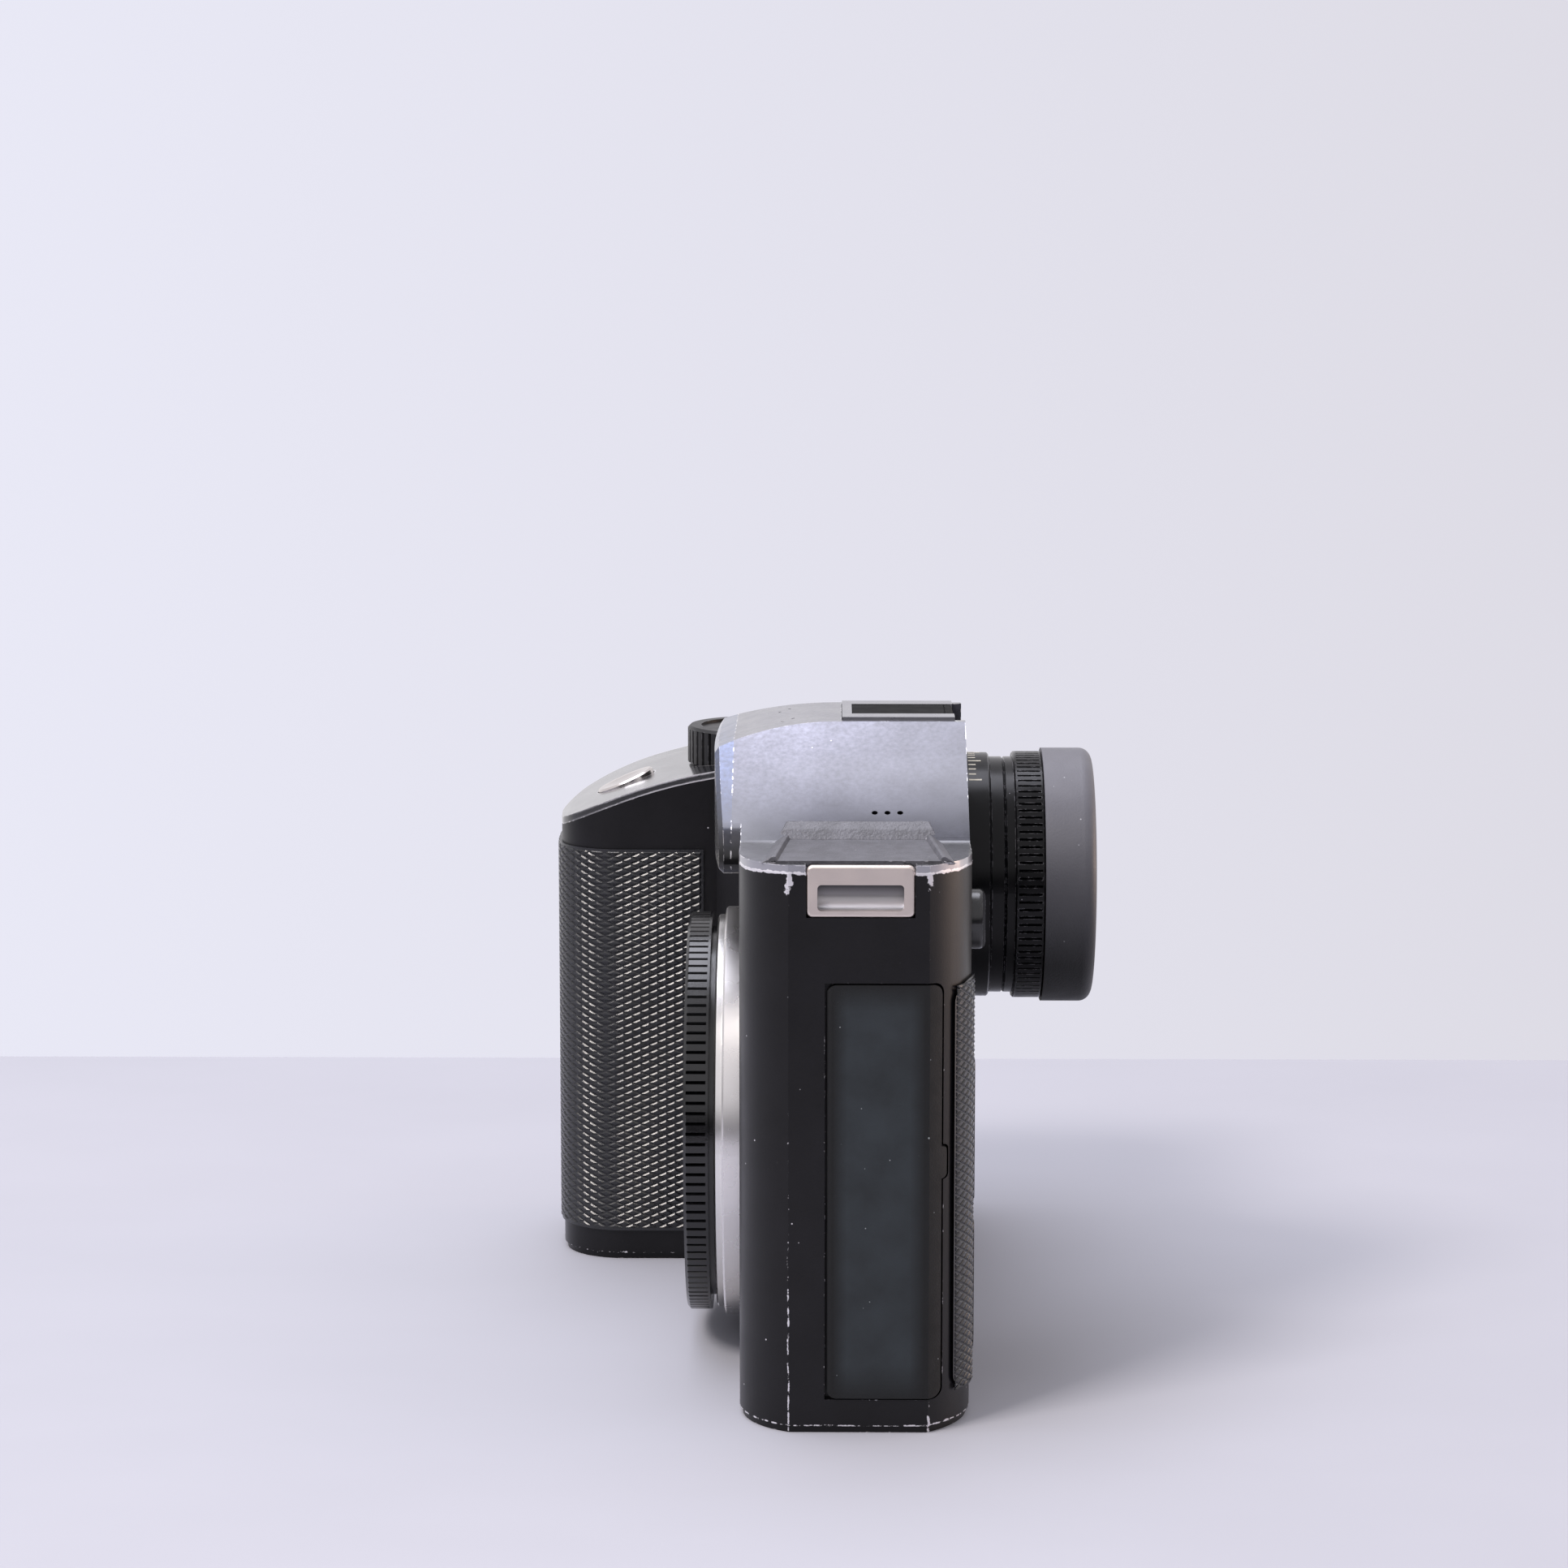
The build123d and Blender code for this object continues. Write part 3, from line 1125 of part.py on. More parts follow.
def mount_base_ring():
    """Wide ring between the housing and the bayonet."""
    ring = turned([(MOUNT_SPIGOT_R + SEAT_GAP, FRONT_Y), (MOUNT_BASE_R, FRONT_Y),
                   (MOUNT_BASE_R, MOUNT_BASE_Y + MOUNT_EDGE), (MOUNT_BASE_R - MOUNT_EDGE, MOUNT_BASE_Y),
                   (MOUNT_SPIGOT_R + SEAT_GAP, MOUNT_BASE_Y)], MOUNT_Z)
    for x, z in MOUNT_SCREW_PLACES:
        ring -= disc(SCREW_SHANK_R + SCREW_GAP, MOUNT_BASE_Y, FRONT_Y, x, MOUNT_Z + z)
    return ring - disc(LOCK_PIN_R + PIN_GAP, MOUNT_BASE_Y, FRONT_Y, LOCK_X, LOCK_Z)


def lens_mount():
    """Steel bayonet ring: flange, four claws, the channel behind them and the throat."""
    ring = turned([(CHANNEL_R, FLANGE_Y), (MOUNT_RING_R - MOUNT_EDGE, FLANGE_Y),
                   (MOUNT_RING_R, FLANGE_Y + MOUNT_EDGE), (MOUNT_RING_R, MOUNT_BASE_Y),
                   (MOUNT_SPIGOT_R, MOUNT_BASE_Y), (MOUNT_SPIGOT_R, INNER_FRONT_Y),
                   (THROAT_R, INNER_FRONT_Y), (THROAT_R, THROAT_FRONT_Y), (CHANNEL_R, THROAT_FRONT_Y)],
                  MOUNT_Z)
    for claw in range(CLAW_COUNT):
        middle = CLAW_FIRST + 360 / CLAW_COUNT * claw
        ring += slab(Pos(0, MOUNT_Z) * sector(THROAT_R, CHANNEL_R + CLAW_ROOT, middle, CLAW_ARC),
                     FLANGE_Y, FLANGE_Y + CLAW_T)
    for x, z in MOUNT_SCREW_PLACES:
        ring -= Pos(x, FLANGE_Y, MOUNT_Z + z) * Rot(-90, 0, 0) * screw_way(SCREW_LENGTH)
    return ring - disc(LOCK_PIN_R + PIN_GAP, FLANGE_Y, MOUNT_BASE_Y, LOCK_X, LOCK_Z)


def release_button():
    """Lens release button, the link behind the wall and the pin that stops a lens from turning."""
    cap = disc(RELEASE_R, FRONT_Y - RELEASE_PROUD, INNER_FRONT_Y, RELEASE_X, RELEASE_Z)
    cap = chamfer(cap.edges().sort_by(Axis.Y)[0], MOUNT_EDGE)
    back_y = INNER_FRONT_Y + RELEASE_LINK_T
    foot = disc(RELEASE_R + BUTTON_FOOT_RIM, INNER_FRONT_Y, back_y, RELEASE_X, RELEASE_Z)
    span_length = RELEASE_ORBIT - LOCK_PIN_ORBIT
    middle_x, middle_z = at_angle(LOCK_PIN_ORBIT + span_length / 2, LOCK_PIN_ANGLE)
    link = Rot(0, 0, LOCK_PIN_ANGLE) * Rectangle(span_length, 2 * RELEASE_LINK_R)
    eye = Pos(LOCK_X, LOCK_Z) * Circle(RELEASE_LINK_R)
    pin = disc(LOCK_PIN_R, FLANGE_Y - LOCK_PIN_PROUD, back_y, LOCK_X, LOCK_Z)
    pin = chamfer(pin.edges().sort_by(Axis.Y)[0], LOCK_PIN_R / 4)
    bridge = slab(Pos(middle_x, MOUNT_Z + middle_z) * link + eye, INNER_FRONT_Y, back_y)
    return cap + foot + bridge + pin


def body_cap():
    """Body cap: ribbed rim, dished face, boss and bayonet tabs that clear the claws."""
    dish_y = CAP_FRONT_Y + CAP_DISH
    inner_y = dish_y + CAP_BOSS_WALL
    cap = turned([(0, dish_y), (CAP_DISH_R, dish_y), (CAP_DISH_R + CAP_DISH, CAP_FRONT_Y),
                  (CAP_R - CAP_DISH, CAP_FRONT_Y), (CAP_R, CAP_FRONT_Y + CAP_DISH), (CAP_R, CAP_RIM_BACK_Y),
                  (CAP_NECK_R, CAP_RIM_BACK_Y), (CAP_NECK_R, FLANGE_Y), (CAP_BOSS_R, FLANGE_Y),
                  (CAP_BOSS_R, CAP_BOSS_Y), (CAP_BOSS_R - CAP_BOSS_WALL, CAP_BOSS_Y),
                  (CAP_BOSS_R - CAP_BOSS_WALL, inner_y), (0, inner_y)], MOUNT_Z)
    tab_y = FLANGE_Y + CLAW_T + CAP_TAB_GAP
    for tab in range(CLAW_COUNT):
        middle = CLAW_FIRST + 360 / CLAW_COUNT * (tab + 0.5)
        cap += slab(Pos(0, MOUNT_Z) * sector(CAP_BOSS_R - CAP_BOSS_WALL / 2, CAP_TAB_R, middle, CAP_TAB_ARC),
                    tab_y, tab_y + CAP_TAB_T)
    cap -= slab(Pos(0, MOUNT_Z) * knurl(CAP_R, CAP_RIB_DEPTH, CAP_RIBS), CAP_FRONT_Y + CAP_RIB_START,
                CAP_RIM_BACK_Y - CAP_RIB_START)
    pocket = disc(LOCK_PIN_R + BUTTON_GAP, FLANGE_Y - LOCK_PIN_PROUD - SEAT_GAP, FLANGE_Y, LOCK_X, LOCK_Z)
    return cap - pocket


def eyepiece_barrel():
    """Fixed ring with the diopter scale, and the tube through it that holds the lens."""
    web_y = REAR_Y + EYE_WEB_T
    bore = EYE_SLEEVE_R + EYE_RUN_GAP
    inner = EYE_BARREL_R - EYE_BARREL_WALL
    return turned([(EYE_BARREL_R, REAR_Y), (EYE_SCALE_R, REAR_Y), (EYE_SCALE_R, EYE_SCALE_BACK_Y - EYE_EDGE),
                   (EYE_SCALE_R - EYE_EDGE, EYE_SCALE_BACK_Y), (bore, EYE_SCALE_BACK_Y), (bore, web_y),
                   (EYE_BARREL_R, web_y), (EYE_BARREL_R, EYE_BARREL_BACK_Y), (inner, EYE_BARREL_BACK_Y),
                   (inner, EYE_BARREL_FRONT_Y), (EYE_BARREL_R, EYE_BARREL_FRONT_Y)], EYE_Z)


def eyepiece_lens():
    """Lens with two curved faces, seated in the barrel."""
    radius = EYE_BARREL_R - EYE_BARREL_WALL
    edge_back = EYE_BARREL_BACK_Y - EYE_LENS_BULGE - EYE_EDGE
    edge_front = edge_back - EYE_LENS_T
    back = ThreePointArc((-radius, edge_back), (0, edge_back + EYE_LENS_BULGE), (radius, edge_back))
    front = ThreePointArc((-radius, edge_front), (0, edge_front - EYE_LENS_BULGE), (radius, edge_front))
    rims = Line((-radius, edge_back), (-radius, edge_front)) + Line((radius, edge_back), (radius, edge_front))
    half = make_face(back + front + rims) & (Pos(radius, edge_back) * Rectangle(2 * radius, 2 * radius))
    return Pos(0, 0, EYE_Z) * revolve(half, Axis.Y)


def diopter_ring():
    """Turning ring: a sleeve, a smooth neck with the index line and a knurled grip."""
    start_y = EYE_SCALE_BACK_Y + EYE_STEP_GAP
    front_y = REAR_Y + EYE_WEB_T + EYE_STEP_GAP
    edge = EYE_EDGE
    ring = turned([(EYE_SLEEVE_BORE_R, front_y), (EYE_SLEEVE_R, front_y), (EYE_SLEEVE_R, start_y),
                   (EYE_NECK_R, start_y), (EYE_NECK_R, EYE_GROOVE_Y - edge),
                   (EYE_NECK_R - edge, EYE_GROOVE_Y), (EYE_NECK_R, EYE_GROOVE_Y + edge),
                   (EYE_NECK_R, EYE_NECK_BACK_Y), (EYE_GRIP_R - edge, EYE_NECK_BACK_Y),
                   (EYE_GRIP_R, EYE_NECK_BACK_Y + edge), (EYE_GRIP_R, EYE_GRIP_BACK_Y - edge),
                   (EYE_GRIP_R - edge, EYE_GRIP_BACK_Y), (EYE_SLEEVE_BORE_R, EYE_GRIP_BACK_Y)], EYE_Z)
    grooves = Pos(0, EYE_Z) * knurl(EYE_GRIP_R, EYE_RIB_DEPTH, EYE_GRIP_RIBS)
    return ring - slab(grooves, EYE_NECK_BACK_Y + 2 * edge, EYE_GRIP_BACK_Y - 2 * edge)


def eyecup():
    """Rubber eyecup: a floor with the sight hole, a wall and a rounded lip."""
    floor_y = EYE_GRIP_BACK_Y + CUP_FLOOR
    outline = make_face(Polyline((CUP_SIGHT_R, EYE_GRIP_BACK_Y), (CUP_R, EYE_GRIP_BACK_Y),
                                 (CUP_R, CUP_BACK_Y), (CUP_R - CUP_LIP, CUP_BACK_Y),
                                 (CUP_R - CUP_WALL, floor_y), (CUP_SIGHT_R, floor_y), close=True))
    lip = outline.vertices().group_by(Axis.Y)[-1]
    outline = fillet(lip, CUP_ROUND)
    return Pos(0, 0, EYE_Z) * revolve(outline, Axis.Y)


def finder_housing():
    """Box inside the hump that holds the finder's display."""
    box = span(-FINDER_HALF, FINDER_HALF, FINDER_FRONT_Y, EYE_BARREL_FRONT_Y, EYE_Z - FINDER_HALF,
               EYE_Z + FINDER_HALF)
    inner = FINDER_HALF - FINDER_WALL
    box -= span(-inner, inner, FINDER_FRONT_Y + FINDER_WALL, EYE_BARREL_FRONT_Y - FINDER_WALL, EYE_Z - inner,
                EYE_Z + inner)
    window = EYE_BARREL_R - EYE_BARREL_WALL
    return box - disc(window, EYE_BARREL_FRONT_Y - FINDER_WALL, EYE_BARREL_FRONT_Y, 0, EYE_Z)


def hot_shoe():
    """Accessory shoe: base plate and two lipped rails, closed at the front."""
    shoe = span(-SHOE_HALF, SHOE_HALF, SHOE_FRONT_Y, SHOE_BACK_Y, SHOE_BOTTOM_Z, SHOE_TOP_Z)
    stop_y = SHOE_FRONT_Y + SHOE_STOP
    shoe -= span(-SHOE_SLOT_HALF, SHOE_SLOT_HALF, stop_y, SHOE_BACK_Y, SHOE_FLOOR_Z, SHOE_SLOT_TOP_Z)
    shoe -= span(-SHOE_GAP_HALF, SHOE_GAP_HALF, stop_y, SHOE_BACK_Y, SHOE_SLOT_TOP_Z, SHOE_TOP_Z)
    for x, y in SHOE_CONTACTS:
        shoe -= post(SHOE_CONTACT_R, SHOE_FLOOR_Z - SHOE_CONTACT_T, SHOE_FLOOR_Z, x, y)
    return shoe


def shoe_contacts():
    """Contacts let flush into the floor of the shoe."""
    return Compound([post(SHOE_CONTACT_R, SHOE_FLOOR_Z - SHOE_CONTACT_T, SHOE_FLOOR_Z, x, y)
                     for x, y in SHOE_CONTACTS])


def shoe_cover():
    """Plastic slide-in cover that fills the shoe."""
    front = SHOE_FRONT_Y + SHOE_STOP + SHOE_COVER_GAP
    gap = SHOE_COVER_GAP
    foot = span(-SHOE_SLOT_HALF + gap, SHOE_SLOT_HALF - gap, front, SHOE_BACK_Y, SHOE_FLOOR_Z + gap,
                SHOE_SLOT_TOP_Z - gap)
    top = span(-SHOE_GAP_HALF + gap, SHOE_GAP_HALF - gap, front, SHOE_BACK_Y, SHOE_SLOT_TOP_Z - gap,
               SHOE_TOP_Z - gap)
    cover = foot + top
    cover -= span(-SHOE_GAP_HALF, SHOE_GAP_HALF, SHOE_COVER_SEAM_Y, SHOE_COVER_SEAM_Y + SHOE_COVER_SEAM,
                  SHOE_TOP_Z - gap - SHOE_COVER_SEAM, SHOE_TOP_Z)
    rear = cover.edges().filter_by(Axis.X).group_by(Axis.Y)[-1].sort_by(Axis.Z)[-1]
    return fillet(rear, SHOE_COVER_ROUND)


def shutter_button():
    """Shutter button with a dished cap, its stem and the clip that keeps it in."""
    cap = post(SHUTTER_R, SHUTTER_PROUD - SHUTTER_T, SHUTTER_PROUD)
    ball = (SHUTTER_DISH_R ** 2 + SHUTTER_DISH ** 2) / (2 * SHUTTER_DISH)
    cap -= Pos(0, 0, SHUTTER_PROUD - SHUTTER_DISH + ball) * Sphere(ball)
    cap = chamfer(cap.edges().group_by(Axis.Z)[-1].sort_by(SortBy.RADIUS)[-1], SHUTTER_DISH)
    stem = post(SHUTTER_STEM_R, -SHUTTER_GUIDE - SHUTTER_CLIP_T, SHUTTER_PROUD - SHUTTER_T)
    clip = post(SHUTTER_CLIP_R, -SHUTTER_GUIDE - SHUTTER_CLIP_T, -SHUTTER_GUIDE)
    return SHUTTER_SEAT * (cap + stem + clip)


def top_dial():
    """Knurled dial on the deck with its shaft."""
    edge = DIAL_EDGE
    body = post(DIAL_R, DIAL_BOTTOM_Z, DIAL_TOP_Z)
    body = chamfer(body.edges().sort_by(Axis.Z)[-1], edge)
    body -= tier(knurl(DIAL_R, DIAL_RIB_DEPTH, DIAL_RIBS, KNURL_WIDE), DIAL_BOTTOM_Z, DIAL_TOP_Z - edge)
    body -= post(DIAL_R - DIAL_RIM, DIAL_TOP_Z - edge, DIAL_TOP_Z)
    return Pos(DIAL_X, DIAL_Y, 0) * (body + post(DIAL_SHAFT_R, LID_UNDER_Z - DIAL_SHAFT_OVER, DIAL_BOTTOM_Z))


def top_display_window():
    """Glass over the top display."""
    centre = Pos(TOP_WINDOW_X, TOP_WINDOW_Y)
    width = TOP_WINDOW_W - 2 * SEAT_GAP
    depth = TOP_WINDOW_D - 2 * SEAT_GAP
    return tier(centre * RectangleRounded(width, depth, TOP_WINDOW_CORNER_R), DECK_Z - TOP_WINDOW_T, DECK_Z)


def top_button(y):
    """Function button on the deck, with the foot that keeps it in."""
    button = post(TOP_BUTTON_R, LID_UNDER_Z, DECK_Z + TOP_BUTTON_PROUD, TOP_BUTTON_X, y)
    button = chamfer(button.edges().sort_by(Axis.Z)[-1], BUTTON_EDGE)
    foot_r = TOP_BUTTON_R + BUTTON_FOOT_RIM
    return button + post(foot_r, LID_UNDER_Z - BUTTON_FOOT_T, LID_UNDER_Z, TOP_BUTTON_X, y)


def thumbwheel():
    """Knurled wheel lying flat behind the rear wall."""
    wheel = post(WHEEL_R, WHEEL_BOTTOM_Z, WHEEL_TOP_Z)
    wheel = chamfer(wheel.edges(), BUTTON_EDGE)
    wheel -= tier(knurl(WHEEL_R, WHEEL_RIB_DEPTH, WHEEL_RIBS, KNURL_WIDE), WHEEL_BOTTOM_Z, WHEEL_TOP_Z)
    wheel -= post(WHEEL_AXLE_R + SHAFT_GAP, WHEEL_BOTTOM_Z, WHEEL_TOP_Z)
    return Pos(WHEEL_X, WHEEL_Y, 0) * wheel


def control_bracket():
    """Bracket inside the rear wall: the thumbwheel's shelf and post over the joystick's case."""
    top = WHEEL_BOTTOM_Z - WHEEL_SHELF_GAP - WHEEL_SLOT_GAP
    shelf = span(WHEEL_X - WHEEL_SHELF_HALF, WHEEL_X + WHEEL_SHELF_HALF, WHEEL_SHELF_FRONT_Y, INNER_REAR_Y,
                 top - WHEEL_SHELF_T, top)
    shelf += post(WHEEL_AXLE_R + WHEEL_SHELF_T, top, WHEEL_BOTTOM_Z - SEAT_GAP, WHEEL_X, WHEEL_Y)
    shelf += post(WHEEL_AXLE_R, top, WHEEL_TOP_Z + SEAT_GAP, WHEEL_X, WHEEL_Y)
    half = STICK_CASE_HALF
    inner = half - STICK_CASE_WALL
    front = STICK_PIVOT_Y - half
    case = slab(Rectangle(2 * half, 2 * half), front, PANEL_FRONT_Y)
    case -= slab(Rectangle(2 * inner, 2 * inner), front + STICK_CASE_WALL, PANEL_FRONT_Y)
    case -= bar(STICK_PIN_R + STICK_PIN_GAP, -half, half, STICK_PIVOT_Y, 0)
    web = span(STICK_X - STICK_CASE_WALL, STICK_X + STICK_CASE_WALL, front, INNER_REAR_Y - SEAT_GAP,
               STICK_Z + half, top - WHEEL_SHELF_T)
    return shelf + web + Pos(STICK_X, 0, STICK_Z) * case


def monitor_glass():
    """Cover glass of the monitor."""
    glass = slab(monitor_outline(), GLASS_FRONT_Y, GLASS_BACK_Y)
    return chamfer(glass.faces().sort_by(Axis.Y)[-1].edges(), MONITOR_PROUD / 2)


def monitor_panel():
    """Display module behind the glass."""
    margin = -MONITOR_EDGE - LCD_INSET
    return slab(monitor_outline(margin), GLASS_FRONT_Y - LCD_T, GLASS_FRONT_Y)


def long_button(x, z, height):
    """Long button beside the monitor, with the foot that keeps it in."""
    cap = RectangleRounded(LONG_BUTTON_W, height, LONG_BUTTON_W / 2 - SEAT_GAP)
    foot = Rectangle(LONG_BUTTON_W + 2 * LONG_BUTTON_FOOT, height - LONG_BUTTON_W)
    button = slab(Pos(x, z) * cap, PANEL_FRONT_Y, REAR_Y + LONG_BUTTON_PROUD)
    button = chamfer(button.faces().sort_by(Axis.Y)[-1].edges(), BUTTON_EDGE)
    return button + slab(Pos(x, z) * foot, PANEL_FRONT_Y - BUTTON_FOOT_T, PANEL_FRONT_Y)


def stick_ring():
    """Gimbal ring that rocks the joystick up and down, with its two pins."""
    half = STICK_RING_HALF
    inner = half - STICK_RING_WALL
    y0 = STICK_PIVOT_Y - STICK_RING_T / 2
    y1 = STICK_PIVOT_Y + STICK_RING_T / 2
    ring = slab(Rectangle(2 * half, 2 * half) - Rectangle(2 * inner, 2 * inner), y0, y1)
    reach = STICK_CASE_HALF - SEAT_GAP
    ring += bar(STICK_PIN_R, -reach, -half + STICK_PIN_R, STICK_PIVOT_Y, 0)
    ring += bar(STICK_PIN_R, half - STICK_PIN_R, reach, STICK_PIVOT_Y, 0)
    hole = Pos(0, STICK_PIVOT_Y, 0) * post(STICK_PIN_R + STICK_PIN_GAP, -half, half)
    return Pos(STICK_X, 0, STICK_Z) * (ring - hole)


def stick_stem():
    """Joystick stem on a hub that rocks sideways in the gimbal ring."""
    half = STICK_HUB_HALF
    y0 = STICK_PIVOT_Y - STICK_HUB_T / 2
    hub = slab(Rectangle(2 * half, 2 * half), y0, y0 + STICK_HUB_T)
    reach = STICK_RING_HALF - SEAT_GAP
    pins = Pos(0, STICK_PIVOT_Y, 0) * post(STICK_PIN_R, -reach, reach)
    stem_end = STICK_CAP_FRONT_Y + STICK_BLIND - STICK_ROOM
    return Pos(STICK_X, 0, STICK_Z) * (hub + pins + disc(STICK_STEM_R, STICK_PIVOT_Y, stem_end))


def stick_cap():
    """Joystick cap, dished, sliding on the end of the stem."""
    back = STICK_CAP_FRONT_Y + STICK_CAP_T
    cap = disc(STICK_CAP_R, STICK_CAP_FRONT_Y, back)
    ball = (STICK_CAP_DISH_R ** 2 + BUTTON_DISH ** 2) / (2 * BUTTON_DISH)
    cap -= Pos(0, back - BUTTON_DISH + ball, 0) * Sphere(ball)
    cap -= disc(STICK_STEM_R + SHAFT_GAP, STICK_CAP_FRONT_Y, STICK_CAP_FRONT_Y + STICK_BLIND)
    return Pos(STICK_X, 0, STICK_Z) * cap


def main_switch():
    """Turning switch on the rear, a low dome with a ridge, and its shaft."""
    dome = disc(SWITCH_R, REAR_Y + SEAT_GAP, SWITCH_BACK_Y)
    dome = fillet(dome.edges().sort_by(Axis.Y)[-1], SWITCH_DOME)
    grooves = [Pos(side * (SWITCH_RIDGE_W + SWITCH_R / 2), SWITCH_BACK_Y, 0)
               * Box(SWITCH_R, 2 * SWITCH_GROOVE, 2 * SWITCH_R) for side in (1, -1)]
    shaft = disc(SWITCH_SHAFT_R, INNER_REAR_Y - SWITCH_SHAFT_OVER, REAR_Y + SEAT_GAP)
    return Pos(SWITCH_X, 0, SWITCH_Z) * (dome - grooves + shaft)


def finder_button():
    """Round button beside the eyepiece."""
    cap = disc(FINDER_BUTTON_R, INNER_REAR_Y, REAR_Y + FINDER_BUTTON_PROUD)
    cap = chamfer(cap.edges().sort_by(Axis.Y)[-1], BUTTON_EDGE)
    foot = disc(FINDER_BUTTON_R + BUTTON_FOOT_RIM, INNER_REAR_Y - BUTTON_FOOT_T, INNER_REAR_Y)
    return Pos(FINDER_BUTTON_X, 0, FINDER_BUTTON_Z) * (cap + foot)


def port_door():
    """Rubber door over the ports: follows the crease, rolls on its rounded front edge."""
    skin = tier(housing_outline(-PORT_PROUD) - housing_outline(PORT_T - PORT_PROUD), 0, DECK_Z)
    side = PORT_HINGE_X - WALL_REACH / 4
    door = skin & rail(port_outline() + port_tab(), side, LEFT_X + WALL)
    front = span(side, LEFT_X + WALL, PORT_FRONT_Y - WALL, PORT_HINGE_Y, 0, DECK_Z)
    roll = post(PORT_T / 2, PORT_BOTTOM_Z, PORT_TOP_Z, PORT_HINGE_X, PORT_HINGE_Y)
    return (door - front) + (door & front & roll)


def port_frame():
    """Plate behind the opening that the sockets stand in."""
    x1 = LEFT_X - WALL
    plate = rail(port_outline(PORT_LAP - PORT_RIM), x1 - PORT_FACE_T, x1)
    plate &= tier(housing_outline(WALL), 0, DECK_Z)
    return plate - hdmi_body(0) - usb_body(0) - jack_body(JACK_UPPER_Z) - jack_body(JACK_LOWER_Z)


def hdmi_body(inset):
    """Outside, or with an inset the inside, of the video socket's shell."""
    width = HDMI_W - 2 * inset
    height = HDMI_H - 2 * inset
    shape = Rectangle(width, height)
    corners = shape.vertices().group_by(Axis.X)[0]
    return socket_block(Pos(PORT_MID_Y, HDMI_Z) * chamfer(corners, HDMI_CORNER), inset)


def usb_body(inset):
    """Outside, or with an inset the inside, of the data socket's shell."""
    shape = RectangleRounded(USB_W - 2 * inset, USB_H - 2 * inset, USB_W / 2 - inset - SHELL_T / 2)
    return socket_block(Pos(PORT_MID_Y, USB_Z) * shape, inset)


def socket_block(sketch, inset):
    """Socket shell along X; its inside stops short of the back."""
    mouth = LEFT_X - WALL + PORT_STAND
    back = mouth - PORT_BLOCK_T
    return rail(sketch, back + (SHELL_T if inset else 0), mouth)


def tongue(z, height):
    """Contact tongue in the middle of a socket."""
    return socket_block(Pos(PORT_MID_Y, z) * Rectangle(TONGUE_T, TONGUE_SHARE * height), 0)


def jack_body(z):
    """Outside of a round audio socket."""
    mouth = LEFT_X - WALL + PORT_STAND
    return bar(JACK_R, mouth - PORT_BLOCK_T, mouth, PORT_MID_Y, z)


def audio_socket(z):
    """Round audio socket with its bore."""
    mouth = LEFT_X - WALL + PORT_STAND
    return jack_body(z) - bar(JACK_BORE_R, mouth - PORT_BLOCK_T + SHELL_T, mouth, PORT_MID_Y, z)


def port_sockets():
    """Video and data sockets, folded shells with a tongue each, and two round audio sockets."""
    video = hdmi_body(0) - hdmi_body(SHELL_T) + tongue(HDMI_Z, HDMI_H)
    data = usb_body(0) - usb_body(SHELL_T) + tongue(USB_Z, USB_H)
    return Compound([video, data, audio_socket(JACK_UPPER_Z), audio_socket(JACK_LOWER_Z)])


def card_door():
    """Card door, rolling on its rounded front edge round a steel pin."""
    x1 = RIGHT_X + CARD_DOOR_T
    door = rail(card_outline(), RIGHT_X, x1)
    front = span(RIGHT_X, x1, CARD_FRONT_Y, CARD_HINGE_Y, CARD_BOTTOM_Z, CARD_TOP_Z)
    roll = post(CARD_DOOR_T / 2, CARD_BOTTOM_Z, CARD_TOP_Z, CARD_HINGE_X, CARD_HINGE_Y)
    door = (door - front) + (door & front & roll)
    return door - post(CARD_PIN_R + PIN_GAP, CARD_BOTTOM_Z, CARD_TOP_Z, CARD_HINGE_X, CARD_HINGE_Y)


def card_door_pin():
    """Hinge pin of the card door."""
    return post(CARD_PIN_R, CARD_BOTTOM_Z - CARD_PIN_OVER, CARD_TOP_Z + CARD_PIN_OVER,
                CARD_HINGE_X, CARD_HINGE_Y)


def card_slots():
    """Block with two card slots, standing on the main board."""
    x0 = RIGHT_X + WALL + SD_SETBACK
    mid_y = (CARD_FRONT_Y + CARD_BACK_Y) / 2
    mid_z = (CARD_BOTTOM_Z + CARD_TOP_Z) / 2
    half_z = SD_W / 2 + SD_WALL
    half_y = SD_PITCH / 2 + SD_T / 2 + SD_WALL
    block = span(x0, x0 + SD_LENGTH, mid_y - half_y, BOARD_Y, mid_z - half_z, mid_z + half_z)
    for side in (1, -1):
        slot = Pos(mid_y + side * SD_PITCH / 2, mid_z) * Rectangle(SD_T, SD_W)
        block -= rail(slot, x0, x0 + SD_LENGTH - SD_WALL)
    return block


def battery_box():
    """Bay that guides the battery, with the contact block under its roof."""
    roof = BAY_TOP_Z - BAY_WALL
    box = tier(battery_outline() - battery_outline(BAY_WALL), BASE_TOP_Z, BAY_TOP_Z)
    box += tier(battery_outline(), roof, BAY_TOP_Z)
    middle = (GRIP_NEAR_X + RIGHT_X) / 2
    return box + span(middle - BATTERY_CONTACT_W / 2, middle + BATTERY_CONTACT_W / 2, BATTERY_CONTACT_Y,
                      BATTERY_CONTACT_Y + BATTERY_CONTACT_D, roof - BATTERY_CONTACT_T, roof)


def battery():
    """Battery, shaped to the inside of the grip, with its base flush with the camera's."""
    cells = tier(battery_outline(BAY_WALL + BATTERY_GAP), BASE_T, BATTERY_TOP_Z)
    return cells + tier(battery_outline(BAY_WALL + BATTERY_GAP - BATTERY_COVER_RIM), 0, BASE_T)


